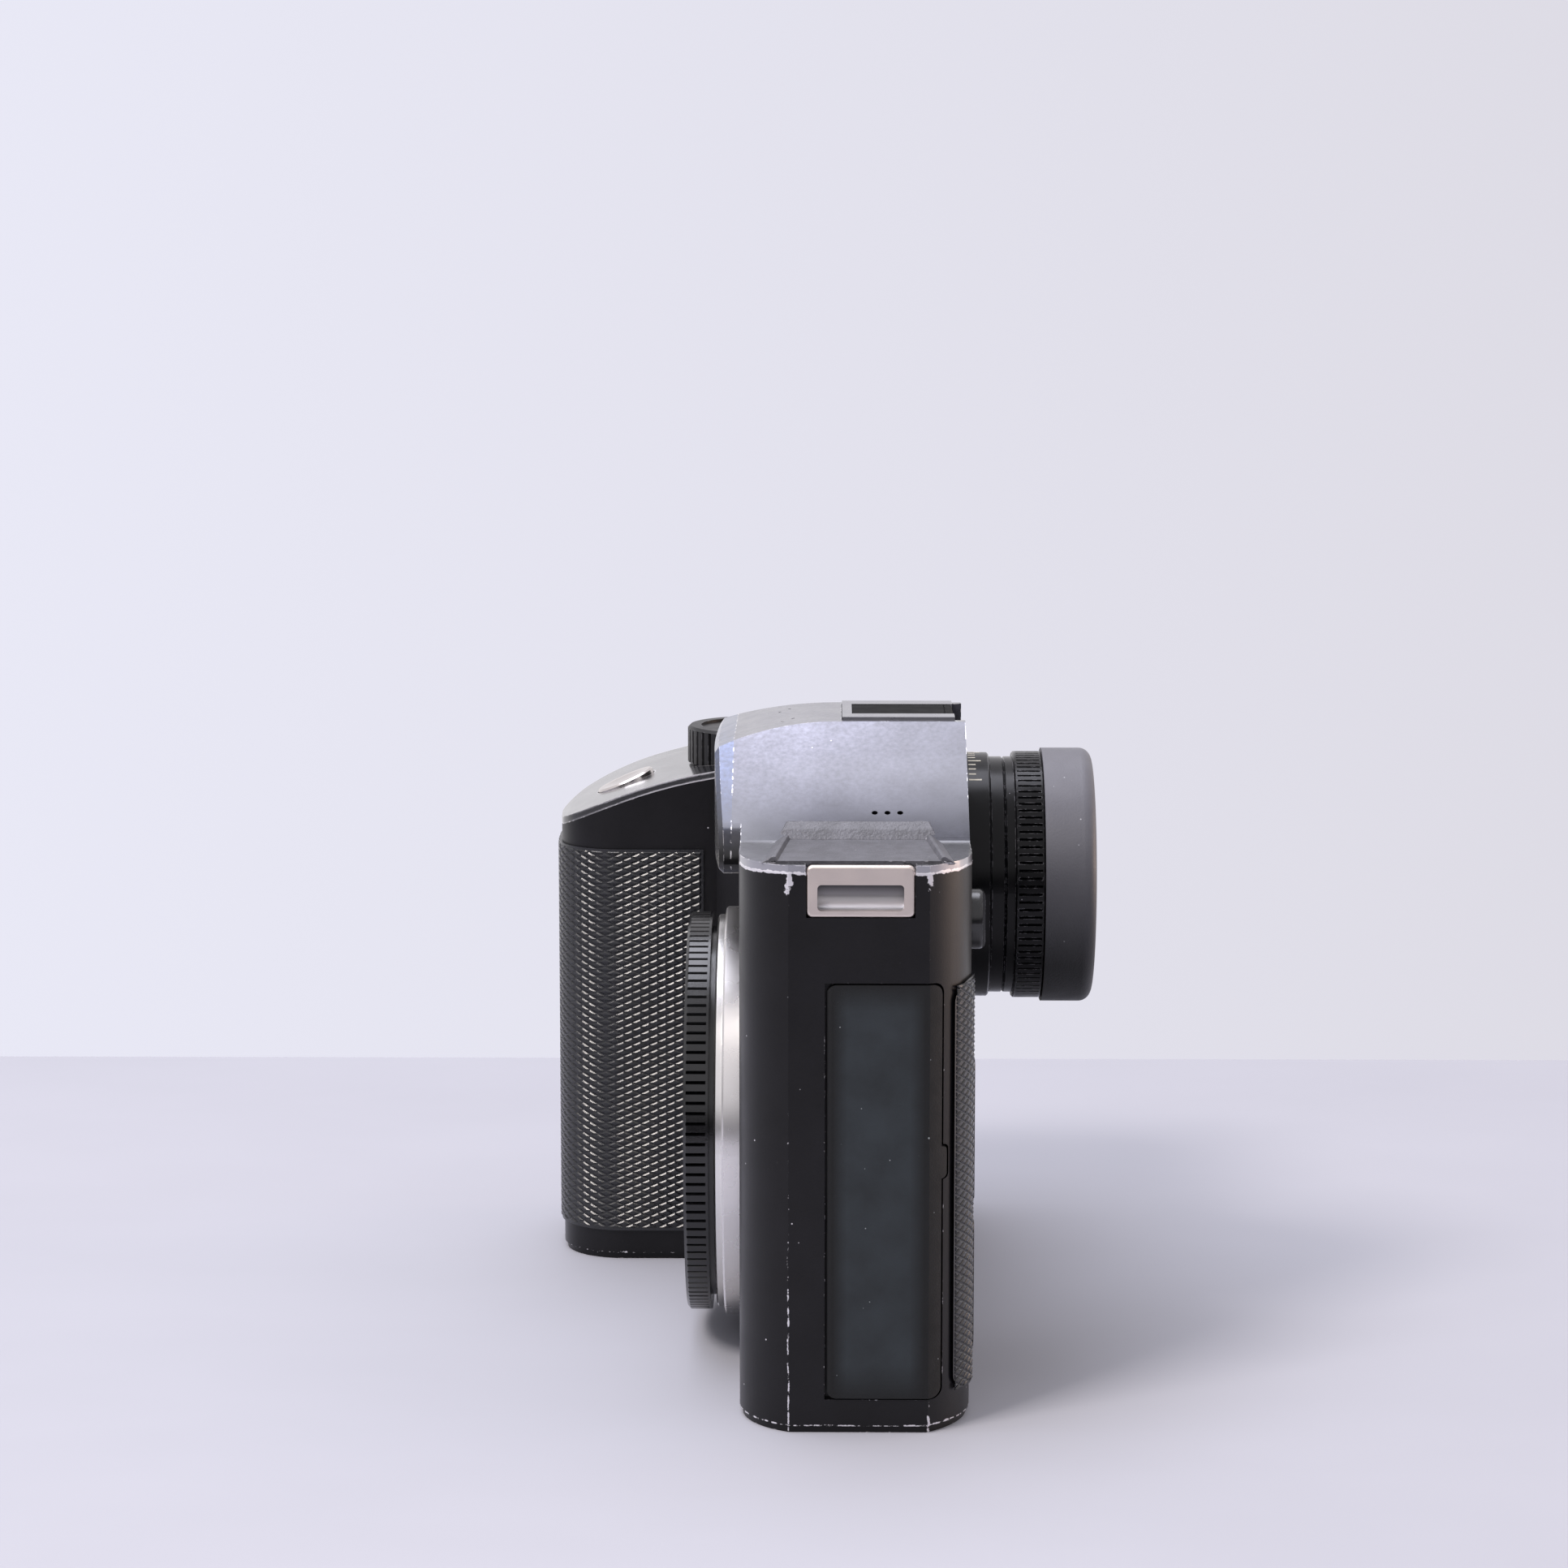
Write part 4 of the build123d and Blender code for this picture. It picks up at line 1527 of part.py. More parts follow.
def tripod_socket():
    """Steel bush with the tripod thread's bore."""
    bush = post(SOCKET_BUSH_R, 0, SOCKET_LENGTH + SOCKET_END_T)
    bush += post(SOCKET_FLANGE_R, BASE_TOP_Z, BASE_TOP_Z + SOCKET_FLANGE_T)
    return bush - post(SOCKET_R, 0, SOCKET_LENGTH)


def gate(half_x, half_z, y0, y1):
    """Rectangular picture gate on the lens axis."""
    return span(-half_x, half_x, y0, y1, MOUNT_Z - half_z, MOUNT_Z + half_z)


def contact_arc(grow=0.0):
    """Sketch of the contact strip low in the throat."""
    return Pos(0, MOUNT_Z) * sector(CONTACT_INNER_R - grow, CONTACT_OUTER_R + grow, -90, 2 * CONTACT_ARC)


def light_mask():
    """Round mask behind the mount, in one piece with the shutter unit."""
    mask = disc(MOUNT_SPIGOT_R, INNER_FRONT_Y, BAFFLE_BACK_Y, 0, MOUNT_Z)
    return mask - slab(contact_arc(), INNER_FRONT_Y, BAFFLE_BACK_Y)


def lens_contacts():
    """Strip of contacts that a lens presses on."""
    strip = slab(contact_arc(), INNER_FRONT_Y + CONTACT_SINK, BAFFLE_BACK_Y)
    radius = (CONTACT_INNER_R + CONTACT_OUTER_R) / 2
    for step in range(CONTACT_COUNT):
        angle = -90 - CONTACT_ARC + 2 * CONTACT_ARC * (step + 0.5) / CONTACT_COUNT
        x, z = at_angle(radius, angle)
        strip += disc(CONTACT_PIN_R, INNER_FRONT_Y, INNER_FRONT_Y + 2 * CONTACT_SINK, x, MOUNT_Z + z)
    return strip


def shutter_unit():
    """Flat box of the curtain shutter, its front mask, the picture gate and room for the blades."""
    z0 = MOUNT_Z - SHUTTER_BELOW
    z1 = MOUNT_Z + SHUTTER_ABOVE
    unit = span(-SHUTTER_HALF_X, SHUTTER_HALF_X, BAFFLE_BACK_Y, SHUTTER_BACK_Y, z0, z1)
    half = GATE_HALF_X + BLADE_LAP + BLADE_ROOM
    unit -= span(-half, half, BAFFLE_BACK_Y + SHUTTER_FRAME_T, SHUTTER_BACK_Y - SHUTTER_FRAME_T,
                 z0 + SHUTTER_FRAME_T, z1 - SHUTTER_FRAME_T)
    return unit + light_mask() - gate(GATE_HALF_X, GATE_HALF_Z, INNER_FRONT_Y, SHUTTER_BACK_Y)


def shutter_blade(layer):
    """One curtain blade, parked above the gate."""
    room = SHUTTER_UNIT_T - 2 * SHUTTER_FRAME_T
    y = BAFFLE_BACK_Y + SHUTTER_FRAME_T + room * (layer + 1) / (BLADE_COUNT + 1)
    half = GATE_HALF_X + BLADE_LAP
    z0 = MOUNT_Z + GATE_HALF_Z + BLADE_ROOM
    return span(-half, half, y - BLADE_T / 2, y + BLADE_T / 2, z0, z0 + BLADE_H)


def filter_glass():
    """Cover glass in front of the sensor."""
    half_x = GATE_HALF_X + FILTER_LAP
    half_z = GATE_HALF_Z + FILTER_LAP
    return gate(half_x, half_z, SENSOR_FRONT_Y - FILTER_T, SENSOR_FRONT_Y)


def image_sensor():
    """Sensor package with a raised rim that the cover glass sits on."""
    block = gate(SENSOR_HALF_X, SENSOR_HALF_Z, SENSOR_FRONT_Y, CARRIER_Y)
    return block - gate(GATE_HALF_X, GATE_HALF_Z, SENSOR_FRONT_Y, SENSOR_FACE_Y)


def sensor_carrier():
    """Plate behind the sensor on four posts that stand on the shutter."""
    plate = gate(CARRIER_HALF_X, CARRIER_HALF_Z, CARRIER_Y, CARRIER_Y + CARRIER_T)
    for x in (CARRIER_POST_X, -CARRIER_POST_X):
        for z in (MOUNT_Z + CARRIER_POST_Z, MOUNT_Z - CARRIER_POST_Z):
            plate += disc(CARRIER_POST_R, SHUTTER_BACK_Y, CARRIER_Y, x, z)
    return plate


def main_board():
    """Main circuit board on its four posts, with the larger chips on its rear."""
    back = BOARD_Y + BOARD_T
    board = span(BOARD_RIGHT_X, BOARD_LEFT_X, BOARD_Y, back, BOARD_BOTTOM_Z, BOARD_TOP_Z)
    for x, z, size in CHIPS:
        board += span(x - size / 2, x + size / 2, back, back + CHIP_T, z - size / 2, z + size / 2)
    return board


def subcomponents():
    """Every sub-part by name."""
    parts = {
        "body_shell": body_shell(),
        "top_cover": top_cover(),
        "nose_plate": nose_plate(),
        "antenna_cover": antenna_cover(),
        "rear_panel": rear_panel(),
        "base_plate": base_plate(),
        "screws": screws(),
        "tripod_socket": tripod_socket(),
        "grip_covering": grip_covering(),
        "rear_covering": rear_covering(),
        "thumb_covering": thumb_covering(),
        "strap_lugs": strap_lugs(),
        "mount_base_ring": mount_base_ring(),
        "lens_mount": lens_mount(),
        "lens_contacts": lens_contacts(),
        "release_button": release_button(),
        "body_cap": body_cap(),
        "eyepiece_barrel": eyepiece_barrel(),
        "eyepiece_lens": eyepiece_lens(),
        "diopter_ring": diopter_ring(),
        "eyecup": eyecup(),
        "finder_housing": finder_housing(),
        "hot_shoe": hot_shoe(),
        "shoe_contacts": shoe_contacts(),
        "shoe_cover": shoe_cover(),
        "shutter_button": shutter_button(),
        "top_dial": top_dial(),
        "top_display_window": top_display_window(),
        "top_button_front": top_button(TOP_BUTTON_YS[0]),
        "top_button_rear": top_button(TOP_BUTTON_YS[1]),
        "thumbwheel": thumbwheel(),
        "control_bracket": control_bracket(),
        "monitor_glass": monitor_glass(),
        "monitor_panel": monitor_panel(),
        "stick_ring": stick_ring(),
        "stick_stem": stick_stem(),
        "stick_cap": stick_cap(),
        "main_switch": main_switch(),
        "finder_button": finder_button(),
        "port_door": port_door(),
        "port_frame": port_frame(),
        "port_sockets": port_sockets(),
        "card_door": card_door(),
        "card_door_pin": card_door_pin(),
        "card_slots": card_slots(),
        "battery_box": battery_box(),
        "battery": battery(),
        "battery_lever": battery_lever(),
        "shutter_unit": shutter_unit(),
        "filter_glass": filter_glass(),
        "image_sensor": image_sensor(),
        "sensor_carrier": sensor_carrier(),
        "main_board": main_board(),
    }
    for number, place in enumerate(long_button_places(), start=1):
        parts["long_button_" + str(number)] = long_button(*place)
    for layer in range(BLADE_COUNT):
        parts["shutter_blade_" + str(layer + 1)] = shutter_blade(layer)
    return parts


if __name__ == "__main__":
    os.makedirs("parts", exist_ok=True)
    for name, shape in subcomponents().items():
        save(shape, name)
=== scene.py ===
import bpy
import bmesh
import math
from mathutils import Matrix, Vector


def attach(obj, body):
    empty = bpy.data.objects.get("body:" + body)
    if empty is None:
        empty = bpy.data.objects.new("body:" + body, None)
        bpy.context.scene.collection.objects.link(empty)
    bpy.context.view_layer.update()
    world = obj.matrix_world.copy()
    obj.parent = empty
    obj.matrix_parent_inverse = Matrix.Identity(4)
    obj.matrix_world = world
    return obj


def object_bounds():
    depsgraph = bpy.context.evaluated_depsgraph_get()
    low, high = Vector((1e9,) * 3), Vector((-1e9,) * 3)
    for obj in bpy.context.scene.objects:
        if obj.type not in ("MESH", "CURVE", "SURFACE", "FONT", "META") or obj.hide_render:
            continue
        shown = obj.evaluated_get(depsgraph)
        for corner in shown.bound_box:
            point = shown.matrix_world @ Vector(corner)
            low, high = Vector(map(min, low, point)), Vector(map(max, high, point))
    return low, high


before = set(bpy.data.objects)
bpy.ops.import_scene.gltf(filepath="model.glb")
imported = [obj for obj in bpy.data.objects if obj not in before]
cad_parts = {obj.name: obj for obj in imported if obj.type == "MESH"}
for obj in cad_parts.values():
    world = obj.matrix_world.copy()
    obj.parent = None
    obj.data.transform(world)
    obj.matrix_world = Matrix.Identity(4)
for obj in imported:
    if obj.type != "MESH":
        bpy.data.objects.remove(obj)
cad_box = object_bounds()
bpy.ops.object.select_all(action="DESELECT")
scene = bpy.context.scene

# Lengths below are in millimetres; the scene is in metres.
MM = 0.001

# Places on the camera, as in its CAD source
LEFT_X = 61.0
REAR_Y = 17.9
DECK_Z = 88.4
ROOF_Z = 104.0
CREASE_FRONT_Y = -10.2
CREASE_REAR_Y = 11.2
MOUNT_Z = 37.1
EYE_Z = 77.0
LUG_SILL_Z = 81.4
LUG_BAR_Z = 85.4
EYE_SCALE_R = 20.13
EYE_SCALE_Y = 18.6
DOOR_MID_Y = 3.6
DOOR_HALF_W = 7.0
DOOR_BOTTOM_Z = 5.0
DOOR_TOP_Z = 70.0

# Coverings: the wall that each follows, seen from above, then its lower and upper border
GRIP_WALL = [(-43.7, -26.2), (-43.7, -51.2), (-66.0, -52.3), (-86.0, -47.1), (-86.0, -16.0)]
GRIP_RADII = [11.0, 40.0, 14.0]
THUMB_WALL = [(-86.0, 10.5), (-86.0, 17.9), (-43.6, 17.9)]
THUMB_RADII = [7.3]
REAR_ARC_START = (49.0, 17.9)
REAR_ARC_END = (61.0, 11.2)
REAR_ARC_R = 17.0
REAR_STRIP = 8.9
COVER_BOTTOM_Z = 5.3
GRIP_TOP_Z = 74.0
REAR_TOP_Z = 69.7
THUMB_TOP_Z = 54.0
COVER_T = 0.45
THUMB_T = 1.0

# Diamonds pressed into the coverings
DIAMOND_LONG = 3.0
DIAMOND_HIGH = 1.35
DIAMOND_GROOVE = 0.09
DIAMOND_BEVEL = 0.22
DIAMOND_SUNK = 0.06
DIAMOND_PROUD = 0.06
DIAMOND_RISE = 0.16
DIAMOND_MARGIN = 0.35
DIAMOND_LEAST = 0.45

# Antenna window, the rails beside it and its ramp
PAD_Y = 0.45
PAD_Z = 88.7
PAD_INNER_X = 36.6
PAD_OUTER_X = 58.45
PAD_RAIL_FOOT = 14.6
PAD_RAIL_INNER = 12.3
PAD_RAIL_H = 0.95
PAD_RAIL_SLOPE = 1.5
PAD_RAIL_INNER_SLOPE = 0.4
PAD_RAIL_SUNK = 0.3
PAD_RAIL_ROUND = 0.12
PAD_SIDE_TURN = math.radians(4.66)
PAD_RAMP_X = 37.9
PAD_RAMP_LONG = 3.4
PAD_RAMP_HIGH = 2.4
PAD_RAMP_SUNK = 0.4
PAD_RAMP_HALF = 12.6
PAD_RAMP_PROUD = 0.28
PAD_RAMP_OUT = (0.68, 0, 0.73)
PAD_RAMP_END_LEAN = 0.6
PAD_RAMP_ROUND = 0.15

# Left flank of the hump: its foot on the deck, its way out, and the notch at its rear foot
FLANK_FOOT_X = 38.8
FLANK_OUT = (15.6, 0, 26.4)
FLANK_PROUD = 0.03
NOTCH_INNER_X = 34.4
NOTCH_OUTER_X = 37.8
NOTCH_FRONT_Y = 12.3
NOTCH_BOTTOM_Z = 88.5
NOTCH_TOP_Z = 91.4

# Dioptre scale on the eyepiece
TICK_STEP = 4.33
TICK_FIRST = -20.76
TICK_COUNT = 13
TICK_LONG_EVERY = 4
TICK_LONG = 2.1
TICK_SHORT = 1.2
TICK_WIDE = 0.38
TICK_PROUD = 0.03
TICK_DEEP = 0.2
TICK_ROUND = 0.05

# Where the housing's and the lid's finish changes
LEFT_DECK_X = 44.0
FLANK_X = 20.0
GRIP_DECK_X = -38.3
GRIP_RIM_FADE_Y = (-52.0, -34.0)
GRIP_POLISH_X = (-30.0, -38.0)
FLANK_POLISH_Y = (-18.5, -6.0)
# The lid's painted sheen is strongest at the front and fades towards the rear between these
LID_SHEEN_Y = (19.0, -12.0)
SPEAKER_Z = 92.6
SPEAKER_CLEAR = 1.4
CREASE_WEAR_X = 59.4
SHOULDER_Z = DECK_Z - 1.3
FOOT_Z = 1.2
# Wear along the foot and the shoulder weakens from the left side towards the right
SIDE_WEAR_X = (40.0, -300.0)

# Noise lies mostly between these, and a worn patch or fleck starts over this much of it
NOISE_LOW = 0.3
NOISE_HIGH = 0.7
WEAR_GAIN = 0.5
WEAR_EDGE = 0.06
FLECK_EDGE = 0.04
# Cosine between the rounded and the flat normal, where an edge starts and where it is sharp
EDGE_START = 0.995
EDGE_SHARP = 0.93
BARE_METALLIC = 0.55
BARE_ROUGHNESS = 0.3
# A pattern that is equally fine along each axis
EVENLY = (1.0, 1.0, 1.0)

# The photograph's camera
LENS_MM = 96.886
SENSOR_MM = 36.0
CAMERA_AT = (0.68863, -0.00354, 0.19188)
CAMERA_PITCH = math.radians(8.256)
CAMERA_YAW = -0.01162

# Table, surroundings and lamps, in metres and by direction
TABLE_BACK_X = -0.216
TABLE_FRONT_X = 0.75
TABLE_HALF_Y = 0.75
TABLE_CELLS = 8
BACK_FADE_X = (0.5, -0.6)
HORIZON_FADE_Z = (0.05, 0.25)
PAPER_FADE_Y = (-0.2, 0.2)
LAMP_AIM = (0, 0, 0.05)


def colour(hex_code, alpha=1.0):
    """Linear colour from an sRGB hex value."""
    parts = [int(hex_code[i:i + 2], 16) / 255 for i in (0, 2, 4)]
    return tuple(c / 12.92 if c <= 0.04045 else ((c + 0.055) / 1.055) ** 2.4 for c in parts) + (alpha,)


def add_node(tree, kind, inputs=None, out=0, **settings):
    """Add one node with its settings and links, and give back one of its outputs."""
    made = tree.nodes.new("ShaderNode" + kind)
    for name, value in settings.items():
        setattr(made, name, value)
    for name, value in (inputs or {}).items():
        socket = made.inputs[name]
        if isinstance(value, bpy.types.NodeSocket):
            tree.links.new(value, socket)
        else:
            socket.default_value = value
    return made.outputs[out]


class Finish:
    """A material with its shader, and the place on the camera in millimetres."""

    def __init__(self, name, base, **sockets):
        self.material = bpy.data.materials.new(name)
        self.material.use_nodes = True
        self.tree = self.material.node_tree
        self.shader = self.tree.nodes["Principled BSDF"]
        self.base = colour(base)
        self.shader.inputs["Base Color"].default_value = self.base
        for socket, value in sockets.items():
            self.shader.inputs[socket.replace("_", " ")].default_value = value
        where = self.add("TexCoord", out="Object")
        self.place = self.add("VectorMath", {0: where, "Scale": 1 / MM}, operation="SCALE")
        apart = self.add("SeparateXYZ", {0: self.place}).node
        self.x, self.y, self.z = apart.outputs

    def add(self, kind, inputs=None, out=0, **settings):
        """Add a node to this material."""
        return add_node(self.tree, kind, inputs, out, **settings)

    def feed(self, socket, value):
        """Link a value to one of the shader's sockets."""
        self.tree.links.new(value, self.shader.inputs[socket])


def dress(finish, *nodes):
    """Give whole CAD nodes one finish."""
    for name in nodes:
        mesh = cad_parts[name].data
        mesh.materials.clear()
        mesh.materials.append(finish.material)


def mottle(f, size, low=0.0, high=1.0, detail=3.0, stretch=EVENLY):
    """Soft uneven patches of one size in millimetres, as a value from low to high."""
    where = f.add("VectorMath", {0: f.place, 1: stretch}, operation="MULTIPLY")
    cloud = f.add("TexNoise", {"Vector": where, "Scale": 1 / size, "Detail": detail, "Roughness": 0.55})
    return f.add("MapRange", {"Value": cloud, "From Min": NOISE_LOW, "From Max": NOISE_HIGH,
                              "To Min": low, "To Max": high})


def flecks(f, pitch, size, share):
    """Small flecks: about one in each pitch of millimetres, in the share of places that noise picks."""
    cell = f.add("TexVoronoi", {"Vector": f.place, "Scale": 1 / pitch}, out="Distance")
    dot = f.add("MapRange", {"Value": cell, "From Min": size / pitch, "From Max": 0.5 * size / pitch})
    patch = f.add("TexNoise", {"Vector": f.place, "Scale": 0.6 / pitch, "Detail": 1.0})
    kept = f.add("MapRange", {"Value": patch, "From Min": 1 - share,
                              "From Max": 1 + FLECK_EDGE - share})
    return f.add("Math", {0: dot, 1: kept}, operation="MULTIPLY")


def rubbed(f, strength, least, patch):
    """Bare where a strength of 1 meets a noise over the least value; nowhere at a strength of 0."""
    crumbs = f.add("TexNoise", {"Vector": f.place, "Scale": 1 / patch, "Detail": 4.0, "Roughness": 0.65})
    total = f.add("Math", {0: strength, 1: WEAR_GAIN, 2: crumbs}, operation="MULTIPLY_ADD")
    return f.add("MapRange", {"Value": total, "From Min": WEAR_GAIN + least,
                              "From Max": WEAR_GAIN + WEAR_EDGE + least})


def worn_edges(f, reach, least, patch=1.1):
    """Bare metal along sharp edges, as far as a reach in millimetres and broken up by a noise."""
    round_normal = f.add("Bevel", {"Radius": reach * MM}, samples=6)
    flat_normal = f.add("NewGeometry", out="Normal")
    alike = f.add("VectorMath", {0: round_normal, 1: flat_normal}, out="Value", operation="DOT_PRODUCT")
    edge = f.add("MapRange", {"Value": alike, "From Min": EDGE_START, "From Max": EDGE_SHARP})
    return rubbed(f, edge, least, patch)


def worn_line(f, across, middle, width, along, start, stop, least):
    """Bare metal along one crease: a wavering band, fading out between two places along it."""
    wander = mottle(f, size=5.0, low=-0.35 * width, high=0.35 * width)
    off = f.add("Math", {0: across, 1: middle}, operation="SUBTRACT")
    off = f.add("Math", {0: off, 1: wander}, operation="ADD")
    off = f.add("Math", {0: off}, operation="ABSOLUTE")
    band = f.add("MapRange", {"Value": off, "From Min": width, "From Max": 0.2 * width})
    fade = f.add("MapRange", {"Value": along, "From Min": stop, "From Max": start})
    strength = f.add("Math", {0: band, 1: fade}, operation="MULTIPLY")
    return rubbed(f, strength, least, patch=0.9)


def worn_shoulder(f, left):
    """Bare metal along the rim round the left deck, where hands rub."""
    rim = worn_line(f, across=f.z, middle=SHOULDER_Z, width=0.5, along=f.x, start=SIDE_WEAR_X[0],
                    stop=SIDE_WEAR_X[1], least=0.32)
    return f.add("Math", {0: rim, 1: left}, operation="MULTIPLY")


def most(f, *values):
    """The largest of several values."""
    top = values[0]
    for value in values[1:]:
        top = f.add("Math", {0: top, 1: value}, operation="MAXIMUM")
    return top


def show_bare(f, wear, base, bare, rough):
    """Put bare metal over a finish where it is worn: its colour, its metal look and its roughness."""
    f.feed("Base Color", f.add("Mix", {0: wear, 6: base, 7: colour(bare)}, out=2, data_type="RGBA"))
    metal = f.shader.inputs["Metallic"].default_value
    f.feed("Metallic", f.add("MapRange", {"Value": wear, "To Min": metal, "To Max": BARE_METALLIC}))
    f.feed("Roughness", f.add("Mix", {0: wear, 2: rough, 3: BARE_ROUGHNESS}, data_type="FLOAT"))


def relief(f, height, depth):
    """Raise and sink the surface by a height field, depth in millimetres."""
    f.feed("Normal", f.add("Bump", {"Height": height, "Distance": depth * MM, "Strength": 1.0}))


def black_anodised():
    """Machined aluminium, bead blasted and dyed black: satin, fine grained, silver where it is rubbed."""
    f = Finish("black_anodised", "09080b", IOR=1.37)
    front = worn_line(f, across=f.y, middle=CREASE_FRONT_Y, width=0.36, along=f.z, start=2.0, stop=130.0,
                      least=0.45)
    rear = worn_line(f, across=f.y, middle=CREASE_REAR_Y, width=0.5, along=f.z, start=1.0, stop=14.0,
                     least=0.40)
    front_top = worn_line(f, across=f.y, middle=CREASE_FRONT_Y, width=0.9, along=f.z, start=DECK_Z - 2.0,
                          stop=DECK_Z - 7.0, least=0.26)
    rear_top = worn_line(f, across=f.y, middle=CREASE_REAR_Y, width=0.8, along=f.z, start=DECK_Z - 2.0,
                         stop=DECK_Z - 5.0, least=0.28)
    outer = f.add("Math", {0: f.x, 1: CREASE_WEAR_X}, operation="GREATER_THAN")
    creases = f.add("Math", {0: most(f, front, rear, front_top, rear_top), 1: outer}, operation="MULTIPLY")
    left = f.add("Math", {0: f.x, 1: LEFT_DECK_X}, operation="GREATER_THAN")
    foot = worn_line(f, across=f.z, middle=FOOT_Z, width=0.35, along=f.x, start=SIDE_WEAR_X[0],
                     stop=SIDE_WEAR_X[1], least=0.46)
    wear = most(f, creases, worn_shoulder(f, left), foot, worn_edges(f, reach=0.26, least=0.60, patch=1.5),
                flecks(f, pitch=3.0, size=0.16, share=0.5))
    base = f.add("Mix", {0: mottle(f, size=9.0), 6: f.base, 7: colour("100f13")}, out=2, data_type="RGBA")
    show_bare(f, wear, base, bare="dcdae0", rough=mottle(f, size=14.0, low=0.30, high=0.42))
    relief(f, mottle(f, size=0.25), depth=0.006)
    return f


def painted_rim_shading(f, base, left):
    """Upright rims of the lid: a painted sheen, pale round the left deck, and painted shade, black over the
    grip.
    """
    tilt = f.add("SeparateXYZ", {0: f.add("NewGeometry", out="Normal")}, out=2)
    upright = f.add("MapRange", {"Value": f.add("Math", {0: tilt}, operation="ABSOLUTE"), "From Min": 0.5,
                                 "From Max": 0.2})
    below_deck = f.add("Math", {0: f.z, 1: DECK_Z + 0.1}, operation="LESS_THAN")
    upright = f.add("Math", {0: upright, 1: below_deck}, operation="MULTIPLY")
    # Painted sheen round the left deck, painted shade on the other upright rims
    rim = f.add("Mix", {0: left, 6: colour("0a0a0c"), 7: colour("a2a2aa")}, out=2, data_type="RGBA")
    return f.add("Mix", {0: upright, 6: base, 7: rim}, out=2, data_type="RGBA")


def lid_chips(f):
    """Chips along the lid's sharp edges, but not at the speaker holes, and a rubbed rim over the grip."""
    beside = f.add("Math", {0: f.z, 1: SPEAKER_Z}, operation="SUBTRACT")
    beside = f.add("Math", {0: beside}, operation="ABSOLUTE")
    beside = f.add("Math", {0: beside, 1: SPEAKER_CLEAR}, operation="GREATER_THAN")
    chips = f.add("Math", {0: worn_edges(f, reach=0.28, least=0.50, patch=1.5), 1: beside},
                  operation="MULTIPLY")
    over_grip = f.add("Math", {0: f.x, 1: GRIP_DECK_X}, operation="LESS_THAN")
    fore_grip = f.add("MapRange", {"Value": f.y, "From Min": GRIP_RIM_FADE_Y[0],
                                   "From Max": GRIP_RIM_FADE_Y[1]})
    rim = f.add("Math", {0: worn_edges(f, reach=0.6, least=0.22, patch=2.2), 1: over_grip},
                operation="MULTIPLY")
    rim = f.add("Math", {0: rim, 1: fore_grip}, operation="MULTIPLY")
    return chips, rim


def handling_polish(f):
    """Polish where hands reach: the slope over the grip most, and the foot of the left flank least."""
    slope = f.add("MapRange", {"Value": f.x, "From Min": GRIP_POLISH_X[0], "From Max": GRIP_POLISH_X[1],
                               "To Min": 0.75})
    up_flank = f.add("MapRange", {"Value": f.z, "From Min": DECK_Z + 1, "From Max": ROOF_Z - 7,
                                  "To Min": 0.1, "To Max": 0.8})
    deck = f.add("MapRange", {"Value": f.z, "From Min": DECK_Z + 0.3, "From Max": DECK_Z + 0.2})
    flank = f.add("Math", {0: f.x, 1: FLANK_X}, operation="GREATER_THAN")
    behind_nose = f.add("MapRange", {"Value": f.y, "From Min": FLANK_POLISH_Y[0],
                                     "From Max": FLANK_POLISH_Y[1]})
    flank = f.add("Math", {0: flank, 1: behind_nose}, operation="MULTIPLY")
    return f.add("Mix", {0: flank, 2: slope, 3: most(f, up_flank, deck)}, data_type="FLOAT")


def lid_anodised(name, low, high, edges=True):
    """Anodising on the lid, its coat polished by handling; a painted grey-blue sheen, lighter up high and to
    the front.
    """
    f = Finish(name, high, Metallic=0.7, Coat_Weight=0.75, Coat_Roughness=0.12, Coat_IOR=1.6)
    # Painted sheen: the base colour goes from the low to the high colour with height, weaker towards the rear
    height = f.add("MapRange", {"Value": f.z, "From Min": DECK_Z + 1, "From Max": ROOF_Z})
    painted_sheen_front = f.add("MapRange", {"Value": f.y, "From Min": LID_SHEEN_Y[0], "From Max": LID_SHEEN_Y[1],
                              "To Min": 0.35})
    height = f.add("Math", {0: height, 1: painted_sheen_front}, operation="MULTIPLY")
    base = f.add("Mix", {0: height, 6: colour(low), 7: f.base}, out=2, data_type="RGBA")
    cloud = mottle(f, size=0.8, high=0.6, detail=8.0)
    base = f.add("Mix", {0: cloud, 6: base, 7: colour("2b2b33")}, out=2, data_type="RGBA")
    left = f.add("Math", {0: f.x, 1: LEFT_DECK_X}, operation="GREATER_THAN")
    wear = most(f, worn_shoulder(f, left), flecks(f, pitch=4.0, size=0.16, share=0.42))
    if edges:
        wear = most(f, wear, *lid_chips(f))
    show_bare(f, wear, painted_rim_shading(f, base, left), bare="f0eef2",
              rough=mottle(f, size=6.0, low=0.28, high=0.42))
    f.feed("Coat Weight", handling_polish(f))
    relief(f, mottle(f, size=0.3), depth=0.008)
    return f


def antenna_plastic():
    """Moulded glass-filled plastic over the antenna: coarse spark-eroded grain."""
    f = Finish("antenna_plastic", "4c4c51", Roughness=0.38, IOR=1.5)
    relief(f, mottle(f, size=0.5, detail=4.0), depth=0.05)
    base = f.add("Mix", {0: mottle(f, size=3.0), 6: f.base, 7: colour("5f5f66")}, out=2, data_type="RGBA")
    chips = most(f, worn_edges(f, reach=0.3, least=0.55), flecks(f, pitch=3.0, size=0.14, share=0.45))
    f.feed("Base Color", f.add("Mix", {0: chips, 6: base, 7: colour("b9b8be")}, out=2, data_type="RGBA"))
    return f


def covering_rubber():
    """Compression-moulded black rubber: a low sheen that picks out the bevels of its diamonds."""
    f = Finish("covering_rubber", "0e0f14", IOR=1.62)
    relief(f, mottle(f, size=0.18), depth=0.008)
    f.feed("Roughness", mottle(f, size=7.0, low=0.22, high=0.32))
    return f


